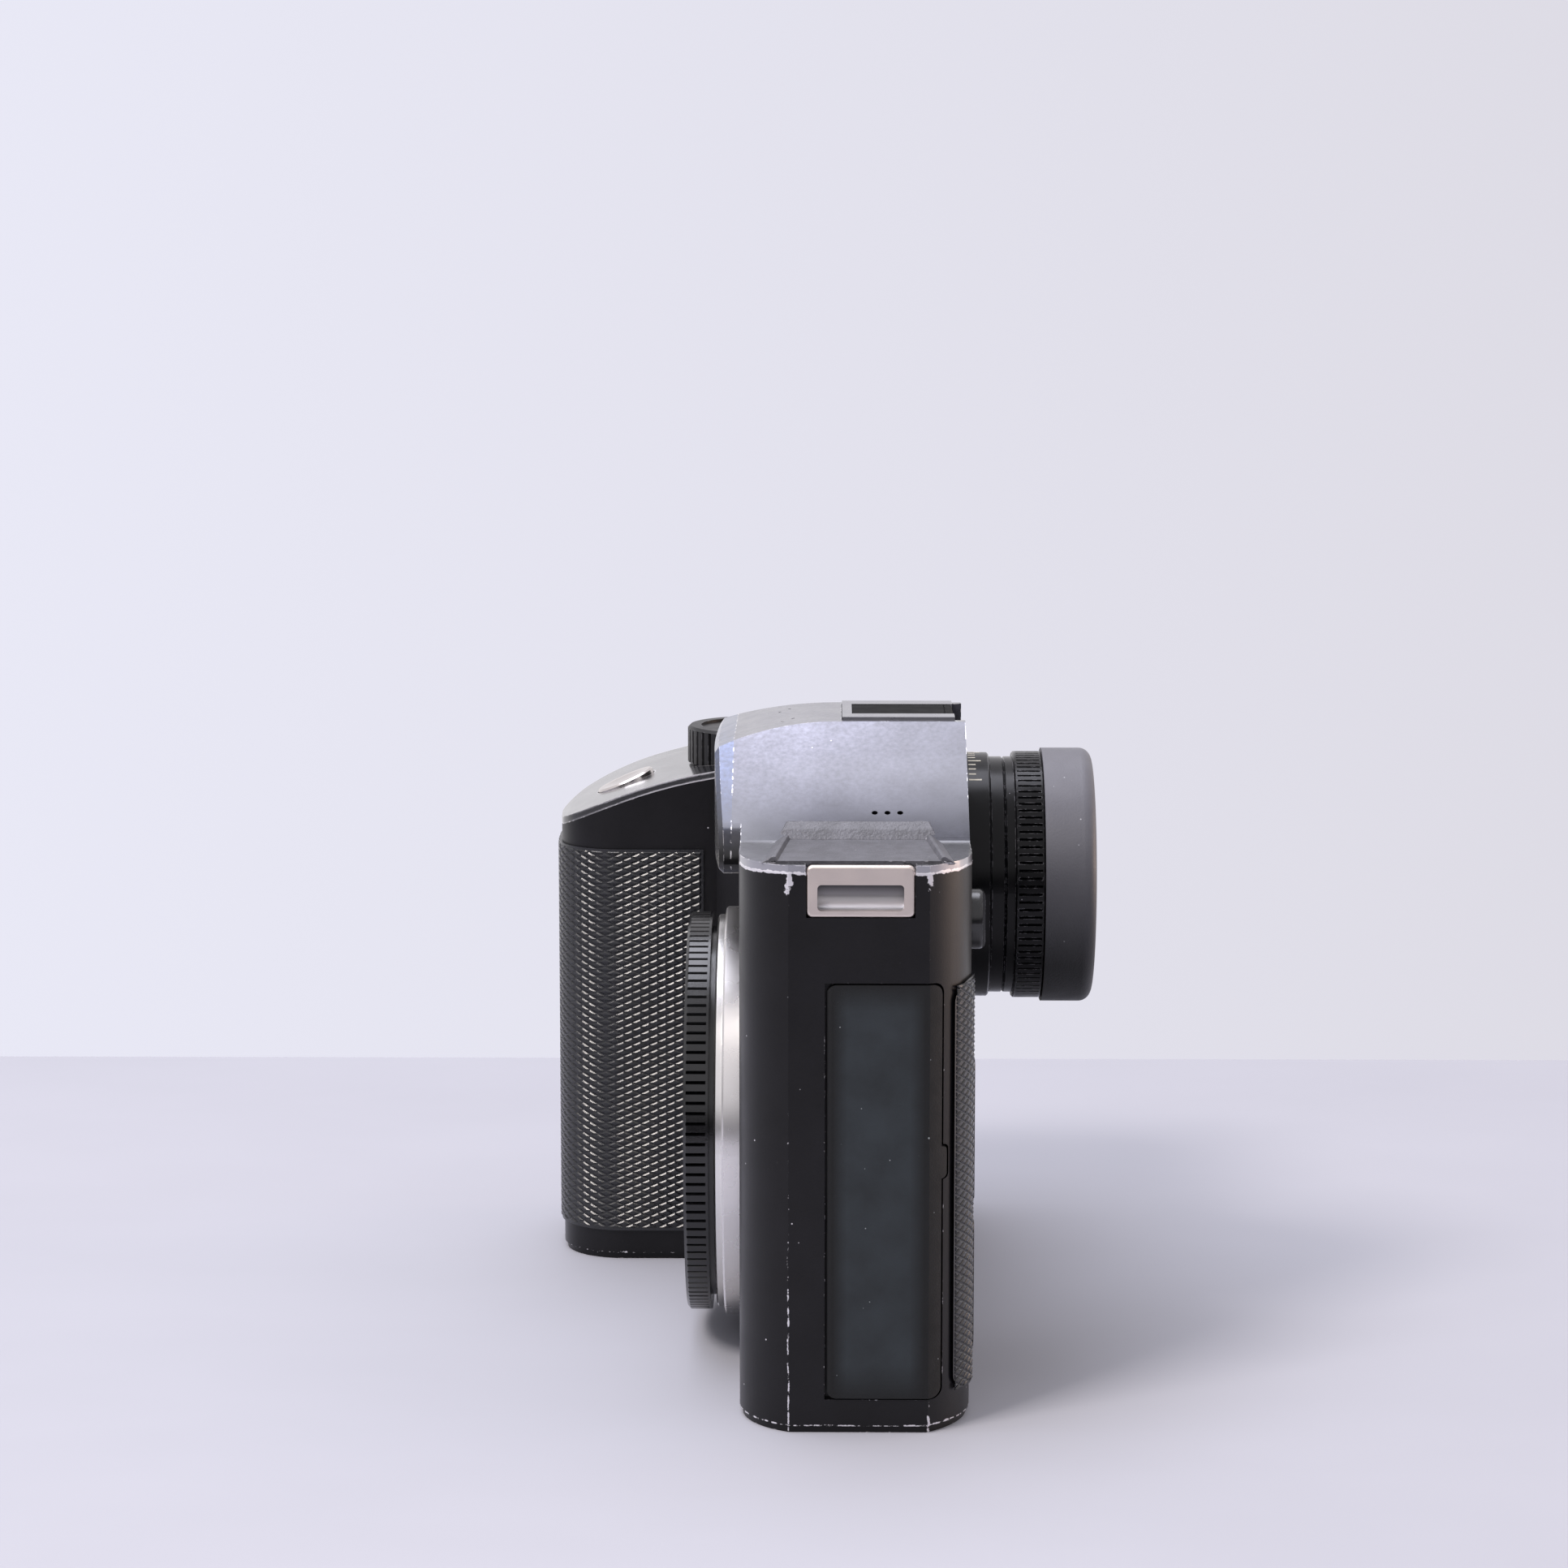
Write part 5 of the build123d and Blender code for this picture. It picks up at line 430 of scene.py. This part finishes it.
def machined_metal(name, base, rough, stretch=EVENLY, depth=0.004):
    """Bare metal with fine tool marks, along the axis of least stretch: satin, with streaked highlights."""
    f = Finish(name, base, Metallic=1.0)
    relief(f, mottle(f, size=0.5, detail=5.0, stretch=stretch), depth)
    f.feed("Roughness", mottle(f, size=5.0, low=rough[0], high=rough[1]))
    return f


def lug_steel():
    """Bead-blasted steel with a warm cast; the slot has painted shade under its bar and a painted highlight
    at its sill.
    """
    f = machined_metal("lug_steel", "e2d6cf", rough=(0.34, 0.46), stretch=(1.0, 0.08, 2.5))
    # Painted shade and highlight inside the slot: dark near the bar, bright near the sill
    deep = f.add("MapRange", {"Value": f.x, "From Min": LEFT_X - 0.5, "From Max": LEFT_X - 1.2})
    high = f.add("MapRange", {"Value": f.z, "From Min": LUG_SILL_Z, "From Max": LUG_BAR_Z})
    painted_slot_shading = f.add("Mix", {0: high, 6: colour("d9d6d8"), 7: colour("1d1b1d")}, out=2, data_type="RGBA")
    f.feed("Base Color", f.add("Mix", {0: deep, 6: f.base, 7: painted_slot_shading}, out=2, data_type="RGBA"))
    return f


def turned_metal(name, base, rough):
    """Metal turned on a lathe about the lens axis: satin, with rings too fine to count."""
    f = Finish(name, base, Metallic=1.0)
    up = f.add("Math", {0: f.z, 1: MOUNT_Z}, operation="SUBTRACT")
    flat = f.add("CombineXYZ", {0: f.x, 1: up})
    radius = f.add("VectorMath", {0: flat}, out="Value", operation="LENGTH")
    across = f.add("CombineXYZ", {0: radius, 1: f.y})
    # Real tool marks are about 0.05 apart; they are drawn at 0.3 so that they show.
    rings = f.add("TexNoise", {"Vector": across, "Scale": 1 / 0.3, "Detail": 3.0})
    relief(f, rings, depth=0.001)
    f.feed("Roughness", mottle(f, size=6.0, low=rough[0], high=rough[1]))
    return f


def knurled_black(name, ior, rough=(0.17, 0.28)):
    """Black anodised control metal: glossier than the housing, greyed on the tips of the knurls."""
    f = Finish(name, "0c0c0e", IOR=ior)
    tips = f.add("Math", {0: worn_edges(f, reach=0.18, least=0.5), 1: 0.5}, operation="MULTIPLY")
    wear = most(f, tips, flecks(f, pitch=2.6, size=0.14, share=0.5))
    show_bare(f, wear, f.base, bare="9b9aa0", rough=mottle(f, size=5.0, low=rough[0], high=rough[1]))
    return f


def moulded_plastic(name, base, rough, grain=0.2, ior=1.46):
    """Injection-moulded black plastic: even, with a faint grain and a few scuffs."""
    f = Finish(name, base, IOR=ior)
    f.feed("Roughness", mottle(f, size=4.0, low=rough[0], high=rough[1]))
    relief(f, mottle(f, size=grain), depth=0.006)
    scuffs = flecks(f, pitch=3.5, size=0.13, share=0.48)
    f.feed("Base Color", f.add("Mix", {0: scuffs, 6: f.base, 7: colour("8f8f95")}, out=2, data_type="RGBA"))
    return f


def eyecup_rubber():
    """Soft moulded rubber: matte, painted light on its upper half and painted shade below, uneven dusty tone,
    and clinging specks.
    """
    f = Finish("eyecup_rubber", "5b5b63", IOR=1.5)
    f.feed("Roughness", mottle(f, size=8.0, low=0.42, high=0.54))
    relief(f, mottle(f, size=0.35), depth=0.015)
    dusty = f.add("Mix", {0: mottle(f, size=11.0), 6: f.base, 7: colour("66666d")}, out=2, data_type="RGBA")
    # Painted light and shade: lighter higher up, near black at the bottom
    painted_top_light = f.add("MapRange", {"Value": f.z, "From Min": EYE_Z - 12, "From Max": EYE_Z + 16})
    base = f.add("Mix", {0: painted_top_light, 6: colour("0d0d0f"), 7: dusty}, out=2, data_type="RGBA")
    specks = most(f, flecks(f, pitch=3.2, size=0.15, share=0.52), flecks(f, pitch=1.6, size=0.09, share=0.42))
    f.feed("Base Color", f.add("Mix", {0: specks, 6: base, 7: colour("a8a8ae")}, out=2, data_type="RGBA"))
    return f


def door_rubber():
    """Rubber flap over the sockets: grey-green, paler in the middle and darker towards its border."""
    f = Finish("door_rubber", "090a0c", IOR=1.42)
    side = f.add("Math", {0: f.y, 1: DOOR_MID_Y}, operation="SUBTRACT")
    side = f.add("Math", {0: side}, operation="ABSOLUTE")
    inner = f.add("MapRange", {"Value": side, "From Min": DOOR_HALF_W, "From Max": DOOR_HALF_W - 2.2})
    low = f.add("MapRange", {"Value": f.z, "From Min": DOOR_BOTTOM_Z, "From Max": DOOR_BOTTOM_Z + 6})
    high = f.add("MapRange", {"Value": f.z, "From Min": DOOR_TOP_Z, "From Max": DOOR_TOP_Z - 4})
    inner = f.add("Math", {0: inner, 1: low}, operation="MULTIPLY")
    inner = f.add("Math", {0: inner, 1: high}, operation="MULTIPLY")
    # Paler in the middle, darker towards the border
    paler_middle = f.add("Math", {0: inner, 1: mottle(f, size=6.0, low=0.55)}, operation="MULTIPLY")
    base = f.add("Mix", {0: paler_middle, 6: f.base, 7: colour("2b3136")}, out=2, data_type="RGBA")
    dust = most(f, flecks(f, pitch=2.2, size=0.11, share=0.52), flecks(f, pitch=5.0, size=0.2, share=0.45))
    f.feed("Base Color", f.add("Mix", {0: dust, 6: base, 7: colour("9da3a6")}, out=2, data_type="RGBA"))
    f.feed("Roughness", mottle(f, size=3.0, low=0.5, high=0.66))
    relief(f, mottle(f, size=0.25), depth=0.02)
    return f


def optical_glass(name, tint):
    """Coated optical glass: clear, with a tint that is a little uneven."""
    f = Finish(name, tint, Roughness=0.0, IOR=1.6, Transmission_Weight=1.0)
    f.feed("Base Color", f.add("Mix", {0: mottle(f, size=20.0, high=0.3), 6: f.base, 7: colour("f2f4f7")},
                               out=2, data_type="RGBA"))
    return f


def display_glass():
    """Cover glass of the switched-off displays: black behind a mirror-smooth face with faint smears."""
    f = Finish("display_glass", "050507", IOR=1.52)
    f.feed("Roughness", mottle(f, size=9.0, low=0.03, high=0.12, detail=5.0))
    return f


def circuit_board():
    """Glass-fibre board with green solder mask, paler over its copper tracks."""
    f = Finish("circuit_board", "17412c", Roughness=0.35, IOR=1.5)
    # Tracks 0.4 wide on a 1.6 pitch
    tracks = f.add("TexWave", {"Vector": f.place, "Scale": 0.2, "Distortion": 6.0, "Detail": 0.0})
    bright = f.add("MapRange", {"Value": tracks, "From Min": 0.7, "From Max": 0.8})
    f.feed("Base Color", f.add("Mix", {0: bright, 6: f.base, 7: colour("2f6b47")}, out=2, data_type="RGBA"))
    return f


def sensor_face():
    """Silicon under glass in a ceramic frame: dark, violet face on and green at a slant."""
    f = Finish("sensor_face", "2b1d3d", Metallic=0.6, Roughness=0.14)
    slant = f.add("LayerWeight", {"Blend": 0.4}, out="Facing")
    f.feed("Base Color", f.add("Mix", {0: slant, 6: f.base, 7: colour("1d3a35")}, out=2, data_type="RGBA"))
    return f


def mark_paint():
    """Cream enamel filled into engraved marks: flat and slightly worn."""
    f = Finish("mark_paint", "efe8d4", Roughness=0.5, IOR=1.5)
    f.feed("Base Color", f.add("Mix", {0: mottle(f, size=0.6, high=0.5), 6: f.base, 7: colour("a39c8b")},
                               out=2, data_type="RGBA"))
    return f


def wall_path(corners, radii):
    """Stretches of a wall with rounded corners: kind, length, start or centre, then the line's direction
    or the arc's radius and way out."""
    stretches = []
    at = Vector(corners[0])
    for i, radius in enumerate(radii, start=1):
        corner = Vector(corners[i])
        into = (corner - Vector(corners[i - 1])).normalized()
        away = (Vector(corners[i + 1]) - corner).normalized()
        turn = into.angle(away)
        tangent = radius * math.tan(turn / 2)
        stretches.append(("line", (corner - into * tangent - at).length, at, into))
        at = corner - into * tangent
        outward = Vector((-into.y, into.x))
        stretches.append(("arc", radius * turn, at - outward * radius, (radius, outward)))
        at = corner + away * tangent
    away = (Vector(corners[-1]) - at).normalized()
    stretches.append(("line", (Vector(corners[-1]) - at).length, at, away))
    return stretches


def rear_corner_path():
    """The one arc of the rear left corner, travelled from the back towards the side."""
    start, end = Vector(REAR_ARC_START), Vector(REAR_ARC_END)
    middle = (start + end) / 2
    half = (end - start).length / 2
    inward = Vector(((end - start).y, -(end - start).x)).normalized()
    centre = middle + inward * math.sqrt(REAR_ARC_R ** 2 - half ** 2)
    return [("arc", REAR_STRIP, centre, (REAR_ARC_R, (start - centre).normalized()))]


def on_wall(stretches, along, proud):
    """Point at a distance along a wall, standing proud of it."""
    for stretch in stretches:
        kind, length, origin, rest = stretch
        if along <= length or stretch is stretches[-1]:
            break
        along -= length
    if kind == "line":
        outward = Vector((-rest.y, rest.x))
        return origin + rest * along + outward * proud
    radius, outward = rest
    turn = -along / radius
    turned = Vector((outward.x * math.cos(turn) - outward.y * math.sin(turn),
                     outward.x * math.sin(turn) + outward.y * math.cos(turn)))
    return origin + turned * (radius + proud)


def select_small_faces(obj, least):
    """Select, in edit mode, the faces under an area in square millimetres."""
    mesh = bmesh.from_edit_mesh(obj.data)
    for face in mesh.faces:
        face.select = face.calc_area() < least
    mesh.select_flush_mode()
    bmesh.update_edit_mesh(obj.data)


def diamond_sheet(name, stretches, bottom, top, thickness, finish):
    """Diamonds standing on a covering: a turned grid, cut to the border, split, raised and wrapped."""
    length = sum(stretch[1] for stretch in stretches) - 2 * DIAMOND_MARGIN
    height = top - bottom - 2 * DIAMOND_MARGIN
    cells = math.ceil(length / DIAMOND_LONG + height / DIAMOND_HIGH) + 2
    bpy.ops.mesh.primitive_grid_add(x_subdivisions=cells, y_subdivisions=cells, size=cells)
    sheet = bpy.context.object
    sheet.name = name
    bpy.ops.object.mode_set(mode="EDIT")
    bpy.ops.mesh.select_mode(type="FACE")
    bpy.ops.transform.rotate(value=math.pi / 4, orient_axis="Z", center_override=(0, 0, 0))
    bpy.ops.transform.resize(value=(DIAMOND_LONG / math.sqrt(2), DIAMOND_HIGH / math.sqrt(2), 1),
                             center_override=(0, 0, 0))
    borders = [((length / 2, 0, 0), (1, 0, 0)), ((-length / 2, 0, 0), (-1, 0, 0)),
               ((0, height / 2, 0), (0, 1, 0)), ((0, -height / 2, 0), (0, -1, 0))]
    for point, normal in borders:
        bpy.ops.mesh.select_all(action="SELECT")
        bpy.ops.mesh.bisect(plane_co=point, plane_no=normal, clear_outer=True)
    select_small_faces(sheet, DIAMOND_LEAST)
    bpy.ops.mesh.delete(type="FACE")
    bpy.ops.mesh.select_all(action="SELECT")
    bpy.ops.mesh.inset(thickness=DIAMOND_GROOVE, use_individual=True)
    bpy.ops.mesh.select_all(action="INVERT")
    bpy.ops.mesh.delete(type="FACE")
    bpy.ops.mesh.select_all(action="SELECT")
    bpy.ops.mesh.extrude_region_move(TRANSFORM_OT_translate={"value": (0, 0, DIAMOND_SUNK + DIAMOND_PROUD)})
    bpy.ops.mesh.inset(thickness=DIAMOND_BEVEL, depth=DIAMOND_RISE, use_individual=True)
    bpy.ops.mesh.select_all(action="SELECT")
    bpy.ops.mesh.normals_make_consistent(inside=False)
    bpy.ops.object.mode_set(mode="OBJECT")
    for vertex in sheet.data.vertices:
        along = vertex.co.x + length / 2 + DIAMOND_MARGIN
        proud = thickness - DIAMOND_SUNK + vertex.co.z
        at = on_wall(stretches, along, proud)
        vertex.co = (at.x * MM, at.y * MM, (vertex.co.y + (top + bottom) / 2) * MM)
    bpy.ops.object.mode_set(mode="EDIT")
    bpy.ops.mesh.select_all(action="SELECT")
    bpy.ops.mesh.normals_make_consistent(inside=False)
    bpy.ops.object.mode_set(mode="OBJECT")
    sheet.data.materials.append(finish.material)
    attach(sheet, "housing")
    bpy.ops.object.select_all(action="DESELECT")


def cut_block(low, high, cuts, round_off):
    """A block between two corners, cut back by planes and rounded: each cut is a point and a way out."""
    middle = [(a + b) / 2 * MM for a, b in zip(low, high)]
    bpy.ops.mesh.primitive_cube_add(size=1, location=middle, scale=[(b - a) * MM for a, b in zip(low, high)])
    bpy.ops.object.transform_apply(location=True, rotation=True, scale=True)
    bpy.ops.object.mode_set(mode="EDIT")
    for point, outwards in cuts:
        bpy.ops.mesh.select_all(action="SELECT")
        bpy.ops.mesh.bisect(plane_co=[v * MM for v in point], plane_no=Vector(outwards).normalized(),
                            use_fill=True, clear_outer=True)
    if round_off:
        bpy.ops.mesh.select_all(action="SELECT")
        bpy.ops.mesh.bevel(offset=round_off * MM, segments=3, affect="EDGES")
    bpy.ops.object.mode_set(mode="OBJECT")
    return bpy.context.object


def join_as(name, pieces, finish):
    """Join pieces into one named object with one finish, riding on the housing."""
    bpy.ops.object.select_all(action="DESELECT")
    for piece in pieces:
        piece.select_set(True)
    bpy.context.view_layer.objects.active = pieces[0]
    bpy.ops.object.join()
    whole = bpy.context.object
    bpy.ops.object.transform_apply(location=True, rotation=True, scale=True)
    whole.name = name
    whole.data.materials.append(finish.material)
    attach(whole, "housing")
    bpy.ops.object.select_all(action="DESELECT")
    return whole


def antenna_frame(finish):
    """Raised rails beside the antenna window, and the ramp from the window up to the hump's flank."""
    pieces = []
    for side in (-1, 1):
        foot_y = PAD_Y + side * PAD_RAIL_FOOT
        inner_y = PAD_Y + side * PAD_RAIL_INNER
        outer_slope = (0, side * PAD_RAIL_H, PAD_RAIL_SLOPE)
        inner_slope = (0, -side * 2 * PAD_RAIL_INNER_SLOPE, PAD_RAIL_INNER_SLOPE)
        rail = cut_block((PAD_INNER_X, min(foot_y, inner_y), DECK_Z - PAD_RAIL_SUNK),
                         (PAD_OUTER_X, max(foot_y, inner_y), DECK_Z + PAD_RAIL_H),
                         [((0, foot_y, DECK_Z), outer_slope), ((0, inner_y, PAD_Z), inner_slope)],
                         PAD_RAIL_ROUND)
        bpy.ops.object.mode_set(mode="EDIT")
        bpy.ops.mesh.select_all(action="SELECT")
        bpy.ops.transform.rotate(value=-side * PAD_SIDE_TURN, orient_axis="Z",
                                 center_override=(PAD_OUTER_X * MM, inner_y * MM, 0))
        bpy.ops.object.mode_set(mode="OBJECT")
        pieces.append(rail)
        bpy.ops.object.select_all(action="DESELECT")
    cuts = [((PAD_RAMP_X, 0, PAD_Z), PAD_RAMP_OUT),
            ((FLANK_FOOT_X, 0, DECK_Z + PAD_RAMP_PROUD), FLANK_OUT)]
    for side in (-1, 1):
        cuts.append(((PAD_RAMP_X, PAD_Y + side * PAD_RAMP_HALF, PAD_Z), (0, side, PAD_RAMP_END_LEAN)))
    pieces.append(cut_block((PAD_RAMP_X - PAD_RAMP_LONG, PAD_Y - PAD_RAMP_HALF, PAD_Z - PAD_RAMP_SUNK),
                            (PAD_RAMP_X, PAD_Y + PAD_RAMP_HALF, PAD_Z + PAD_RAMP_HIGH), cuts,
                            PAD_RAMP_ROUND))
    join_as("antenna_frame", pieces, finish)


def flank_plate(finish):
    """Plate that closes the notch at the rear foot of the hump's left flank, flush with the flank."""
    plate = cut_block((NOTCH_INNER_X, NOTCH_FRONT_Y, NOTCH_BOTTOM_Z), (NOTCH_OUTER_X, REAR_Y, NOTCH_TOP_Z),
                      [((FLANK_FOOT_X + FLANK_PROUD, 0, DECK_Z), FLANK_OUT)], round_off=0)
    join_as("flank_plate", [plate], finish)


def dioptre_ticks(finish):
    """Painted marks of the dioptre scale, a long one after every three short ones."""
    marks = []
    for i in range(TICK_COUNT):
        length = TICK_LONG if i % TICK_LONG_EVERY == 0 else TICK_SHORT
        middle = ((EYE_SCALE_Y + length / 2) * MM, (EYE_Z + EYE_SCALE_R + TICK_PROUD - TICK_DEEP / 2) * MM)
        bpy.ops.mesh.primitive_cube_add(size=1, location=(0, *middle),
                                        scale=(TICK_WIDE * MM, length * MM, TICK_DEEP * MM))
        mark = bpy.context.object
        bpy.ops.object.mode_set(mode="EDIT")
        bpy.ops.mesh.bevel(offset=TICK_ROUND * MM, segments=2, affect="EDGES")
        bpy.ops.object.mode_set(mode="OBJECT")
        angle = math.radians(TICK_FIRST + i * TICK_STEP)
        bpy.ops.transform.rotate(value=-angle, orient_axis="Y", center_override=(0, 0, EYE_Z * MM))
        marks.append(mark)
        bpy.ops.object.select_all(action="DESELECT")
    join_as("dioptre_scale", marks, finish)


def dress_camera():
    """Give each CAD node its finish, and add the coverings' diamonds and the dioptre marks."""
    dress(black_anodised(), "body_shell", "rear_panel", "base_plate", "card_door")
    # The second colour of each lid finish is its painted sheen, bluish on the nose as a painted reflection
    dress(lid_anodised("lid_anodised", "1d1d24", "757583"), "top_cover")
    dress(lid_anodised("nose_anodised", "0b0e1c", "6d7a9e"), "nose_plate")
    window_plastic = antenna_plastic()
    dress(window_plastic, "antenna_cover")
    antenna_frame(window_plastic)
    flank_plate(lid_anodised("flank_anodised", "1d1d24", "757583", edges=False))
    rubber = covering_rubber()
    dress(rubber, "grip_covering", "rear_covering", "thumb_covering")
    dress(lug_steel(), "strap_lugs")
    dress(turned_metal("mount_steel", "f0eeec", rough=(0.22, 0.27)), "lens_mount")
    dress(turned_metal("mount_ring_metal", "ece9e8", rough=(0.25, 0.30)), "mount_base_ring")
    dress(machined_metal("screw_steel", "8e8e92", rough=(0.25, 0.4)), "screws", "card_door_pin",
          "tripod_socket")
    dress(machined_metal("gold_contacts", "d0a85a", rough=(0.16, 0.28)), "lens_contacts", "shoe_contacts")
    dress(knurled_black("knurled_black", ior=1.65), "release_button", "thumbwheel", "main_switch",
          "battery_lever")
    dress(knurled_black("dial_black", ior=1.5, rough=(0.36, 0.46)), "top_dial")
    dress(knurled_black("barrel_black", ior=1.28), "eyepiece_barrel", "diopter_ring")
    dress(moulded_plastic("cap_plastic", "0c0c0e", rough=(0.14, 0.2), ior=1.6), "body_cap")
    dress(eyecup_rubber(), "eyecup")
    dress(machined_metal("shutter_metal", "dcd6d2", rough=(0.2, 0.26), depth=0.001), "shutter_button")
    dress(machined_metal("shoe_steel", "aeaeb3", rough=(0.22, 0.34), stretch=(1.0, 0.1, 1.0)), "hot_shoe")
    dress(moulded_plastic("shoe_cover_plastic", "0b0b0c", rough=(0.7, 0.85), ior=1.25), "shoe_cover")
    dress(moulded_plastic("black_plastic", "121214", rough=(0.34, 0.48)), "finder_housing",
          "top_button_front", "top_button_rear", "control_bracket", "long_button_1", "long_button_2",
          "long_button_3", "long_button_4", "stick_stem", "finder_button", "port_frame", "battery_box",
          "battery", "shutter_unit")
    dress(optical_glass("lens_glass", "cfd2dd"), "eyepiece_lens")
    dress(optical_glass("filter_glass", "c7d6d2"), "filter_glass")
    dress(display_glass(), "monitor_glass", "top_display_window")
    dress(moulded_plastic("display_module", "0a0a0c", rough=(0.3, 0.4)), "monitor_panel")
    dress(moulded_plastic("stick_rubber", "161618", rough=(0.5, 0.65), grain=0.4), "stick_cap")
    dress(machined_metal("stick_metal", "7d7d82", rough=(0.25, 0.4)), "stick_ring")
    dress(door_rubber(), "port_door")
    dress(machined_metal("socket_steel", "a7a7ab", rough=(0.22, 0.36), stretch=(1.0, 0.2, 1.0)),
          "port_sockets", "card_slots")
    dress(circuit_board(), "main_board")
    dress(machined_metal("blade_metal", "35353a", rough=(0.3, 0.42), stretch=(0.1, 1.0, 2.0)),
          "shutter_blade_1", "shutter_blade_2", "shutter_blade_3")
    dress(sensor_face(), "image_sensor")
    dress(machined_metal("carrier_metal", "85858a", rough=(0.3, 0.45)), "sensor_carrier")
    diamond_sheet("grip_diamonds", wall_path(GRIP_WALL, GRIP_RADII), COVER_BOTTOM_Z, GRIP_TOP_Z, COVER_T,
                  rubber)
    diamond_sheet("rear_diamonds", rear_corner_path(), COVER_BOTTOM_Z, REAR_TOP_Z, COVER_T, rubber)
    diamond_sheet("thumb_diamonds", wall_path(THUMB_WALL, THUMB_RADII), COVER_BOTTOM_Z, THUMB_TOP_Z, THUMB_T,
                  rubber)
    dioptre_ticks(mark_paint())


def lamp(name, at, size, watts, tint):
    """Soft lamp of a size in metres, aimed at the middle of the camera."""
    light = bpy.data.lights.new(name, "AREA")
    light.shape = "RECTANGLE"
    light.size, light.size_y = size
    light.energy = watts
    light.color = colour(tint)[:3]
    lamp_object = bpy.data.objects.new(name, light)
    scene.collection.objects.link(lamp_object)
    lamp_object.location = at
    lamp_object.rotation_euler = (Vector(LAMP_AIM) - Vector(at)).to_track_quat("-Z", "Y").to_euler()


def set_stage():
    """Pale table, pale surroundings, soft lamps and the photograph's camera."""
    bpy.ops.mesh.primitive_grid_add(x_subdivisions=TABLE_CELLS, y_subdivisions=TABLE_CELLS, size=1)
    table = bpy.context.object
    table.name = "table"
    middle_x = (TABLE_BACK_X + TABLE_FRONT_X) / 2
    bpy.ops.transform.resize(value=(TABLE_FRONT_X - TABLE_BACK_X, 2 * TABLE_HALF_Y, 1))
    bpy.ops.transform.translate(value=(middle_x, 0, cad_box[0][2]))
    paper = Finish("table_paper", "abacb5", Roughness=0.75, IOR=1.4)
    paper.feed("Base Color", paper.add("Mix", {0: mottle(paper, size=60.0), 6: paper.base,
                                               7: colour("aeafb8")}, out=2, data_type="RGBA"))
    table.data.materials.append(paper.material)
    bpy.ops.object.select_all(action="DESELECT")

    world = bpy.data.worlds.new("studio")
    scene.world = world
    world.use_nodes = True
    tree = world.node_tree
    shine = tree.nodes["Background"]
    way = add_node(tree, "TexCoord", out="Generated")
    x, y, z = add_node(tree, "SeparateXYZ", {0: way}).node.outputs
    behind = add_node(tree, "MapRange", {"Value": x, "From Min": BACK_FADE_X[0],
                                         "From Max": BACK_FADE_X[1]})
    above = add_node(tree, "MapRange", {"Value": z, "From Min": HORIZON_FADE_Z[0],
                                        "From Max": HORIZON_FADE_Z[1]})
    back = add_node(tree, "Mix", {0: behind, 6: colour("1b1a1c"), 7: colour("f6f4f8")}, out=2,
                    data_type="RGBA")
    around = add_node(tree, "Mix", {0: above, 6: back, 7: colour("e6e4e9")}, out=2, data_type="RGBA")
    seen = add_node(tree, "LightPath", out="Is Camera Ray")
    paper_tone = add_node(tree, "MapRange", {"Value": y, "From Min": PAPER_FADE_Y[0],
                                             "From Max": PAPER_FADE_Y[1]})
    backdrop = add_node(tree, "Mix", {0: paper_tone, 6: colour("e9e9f6"), 7: colour("dddbe4")}, out=2,
                        data_type="RGBA")
    shown = add_node(tree, "Mix", {0: seen, 6: around, 7: backdrop}, out=2, data_type="RGBA")
    tree.links.new(shown, shine.inputs["Color"])

    lamp("key", at=(0.55, -0.55, 0.95), size=(0.3, 0.3), watts=9.0, tint="fff6f0")
    lamp("overhead", at=(-0.15, -0.22, 1.05), size=(1.1, 0.5), watts=7.5, tint="f1f2ff")
    lamp("warm_side", at=(-0.22, 0.85, 0.12), size=(0.45, 0.4), watts=2.6, tint="ffdcc0")

    camera = bpy.data.objects.new("camera", bpy.data.cameras.new("camera"))
    scene.collection.objects.link(camera)
    camera.data.lens = LENS_MM
    camera.data.sensor_width = SENSOR_MM
    camera.location = CAMERA_AT
    ahead = Vector((-math.cos(CAMERA_PITCH) * math.cos(CAMERA_YAW),
                    math.cos(CAMERA_PITCH) * math.sin(CAMERA_YAW), -math.sin(CAMERA_PITCH)))
    camera.rotation_euler = ahead.to_track_quat("-Z", "Y").to_euler()
    scene.camera = camera
    scene.view_settings.view_transform = "Standard"


dress_camera()
set_stage()
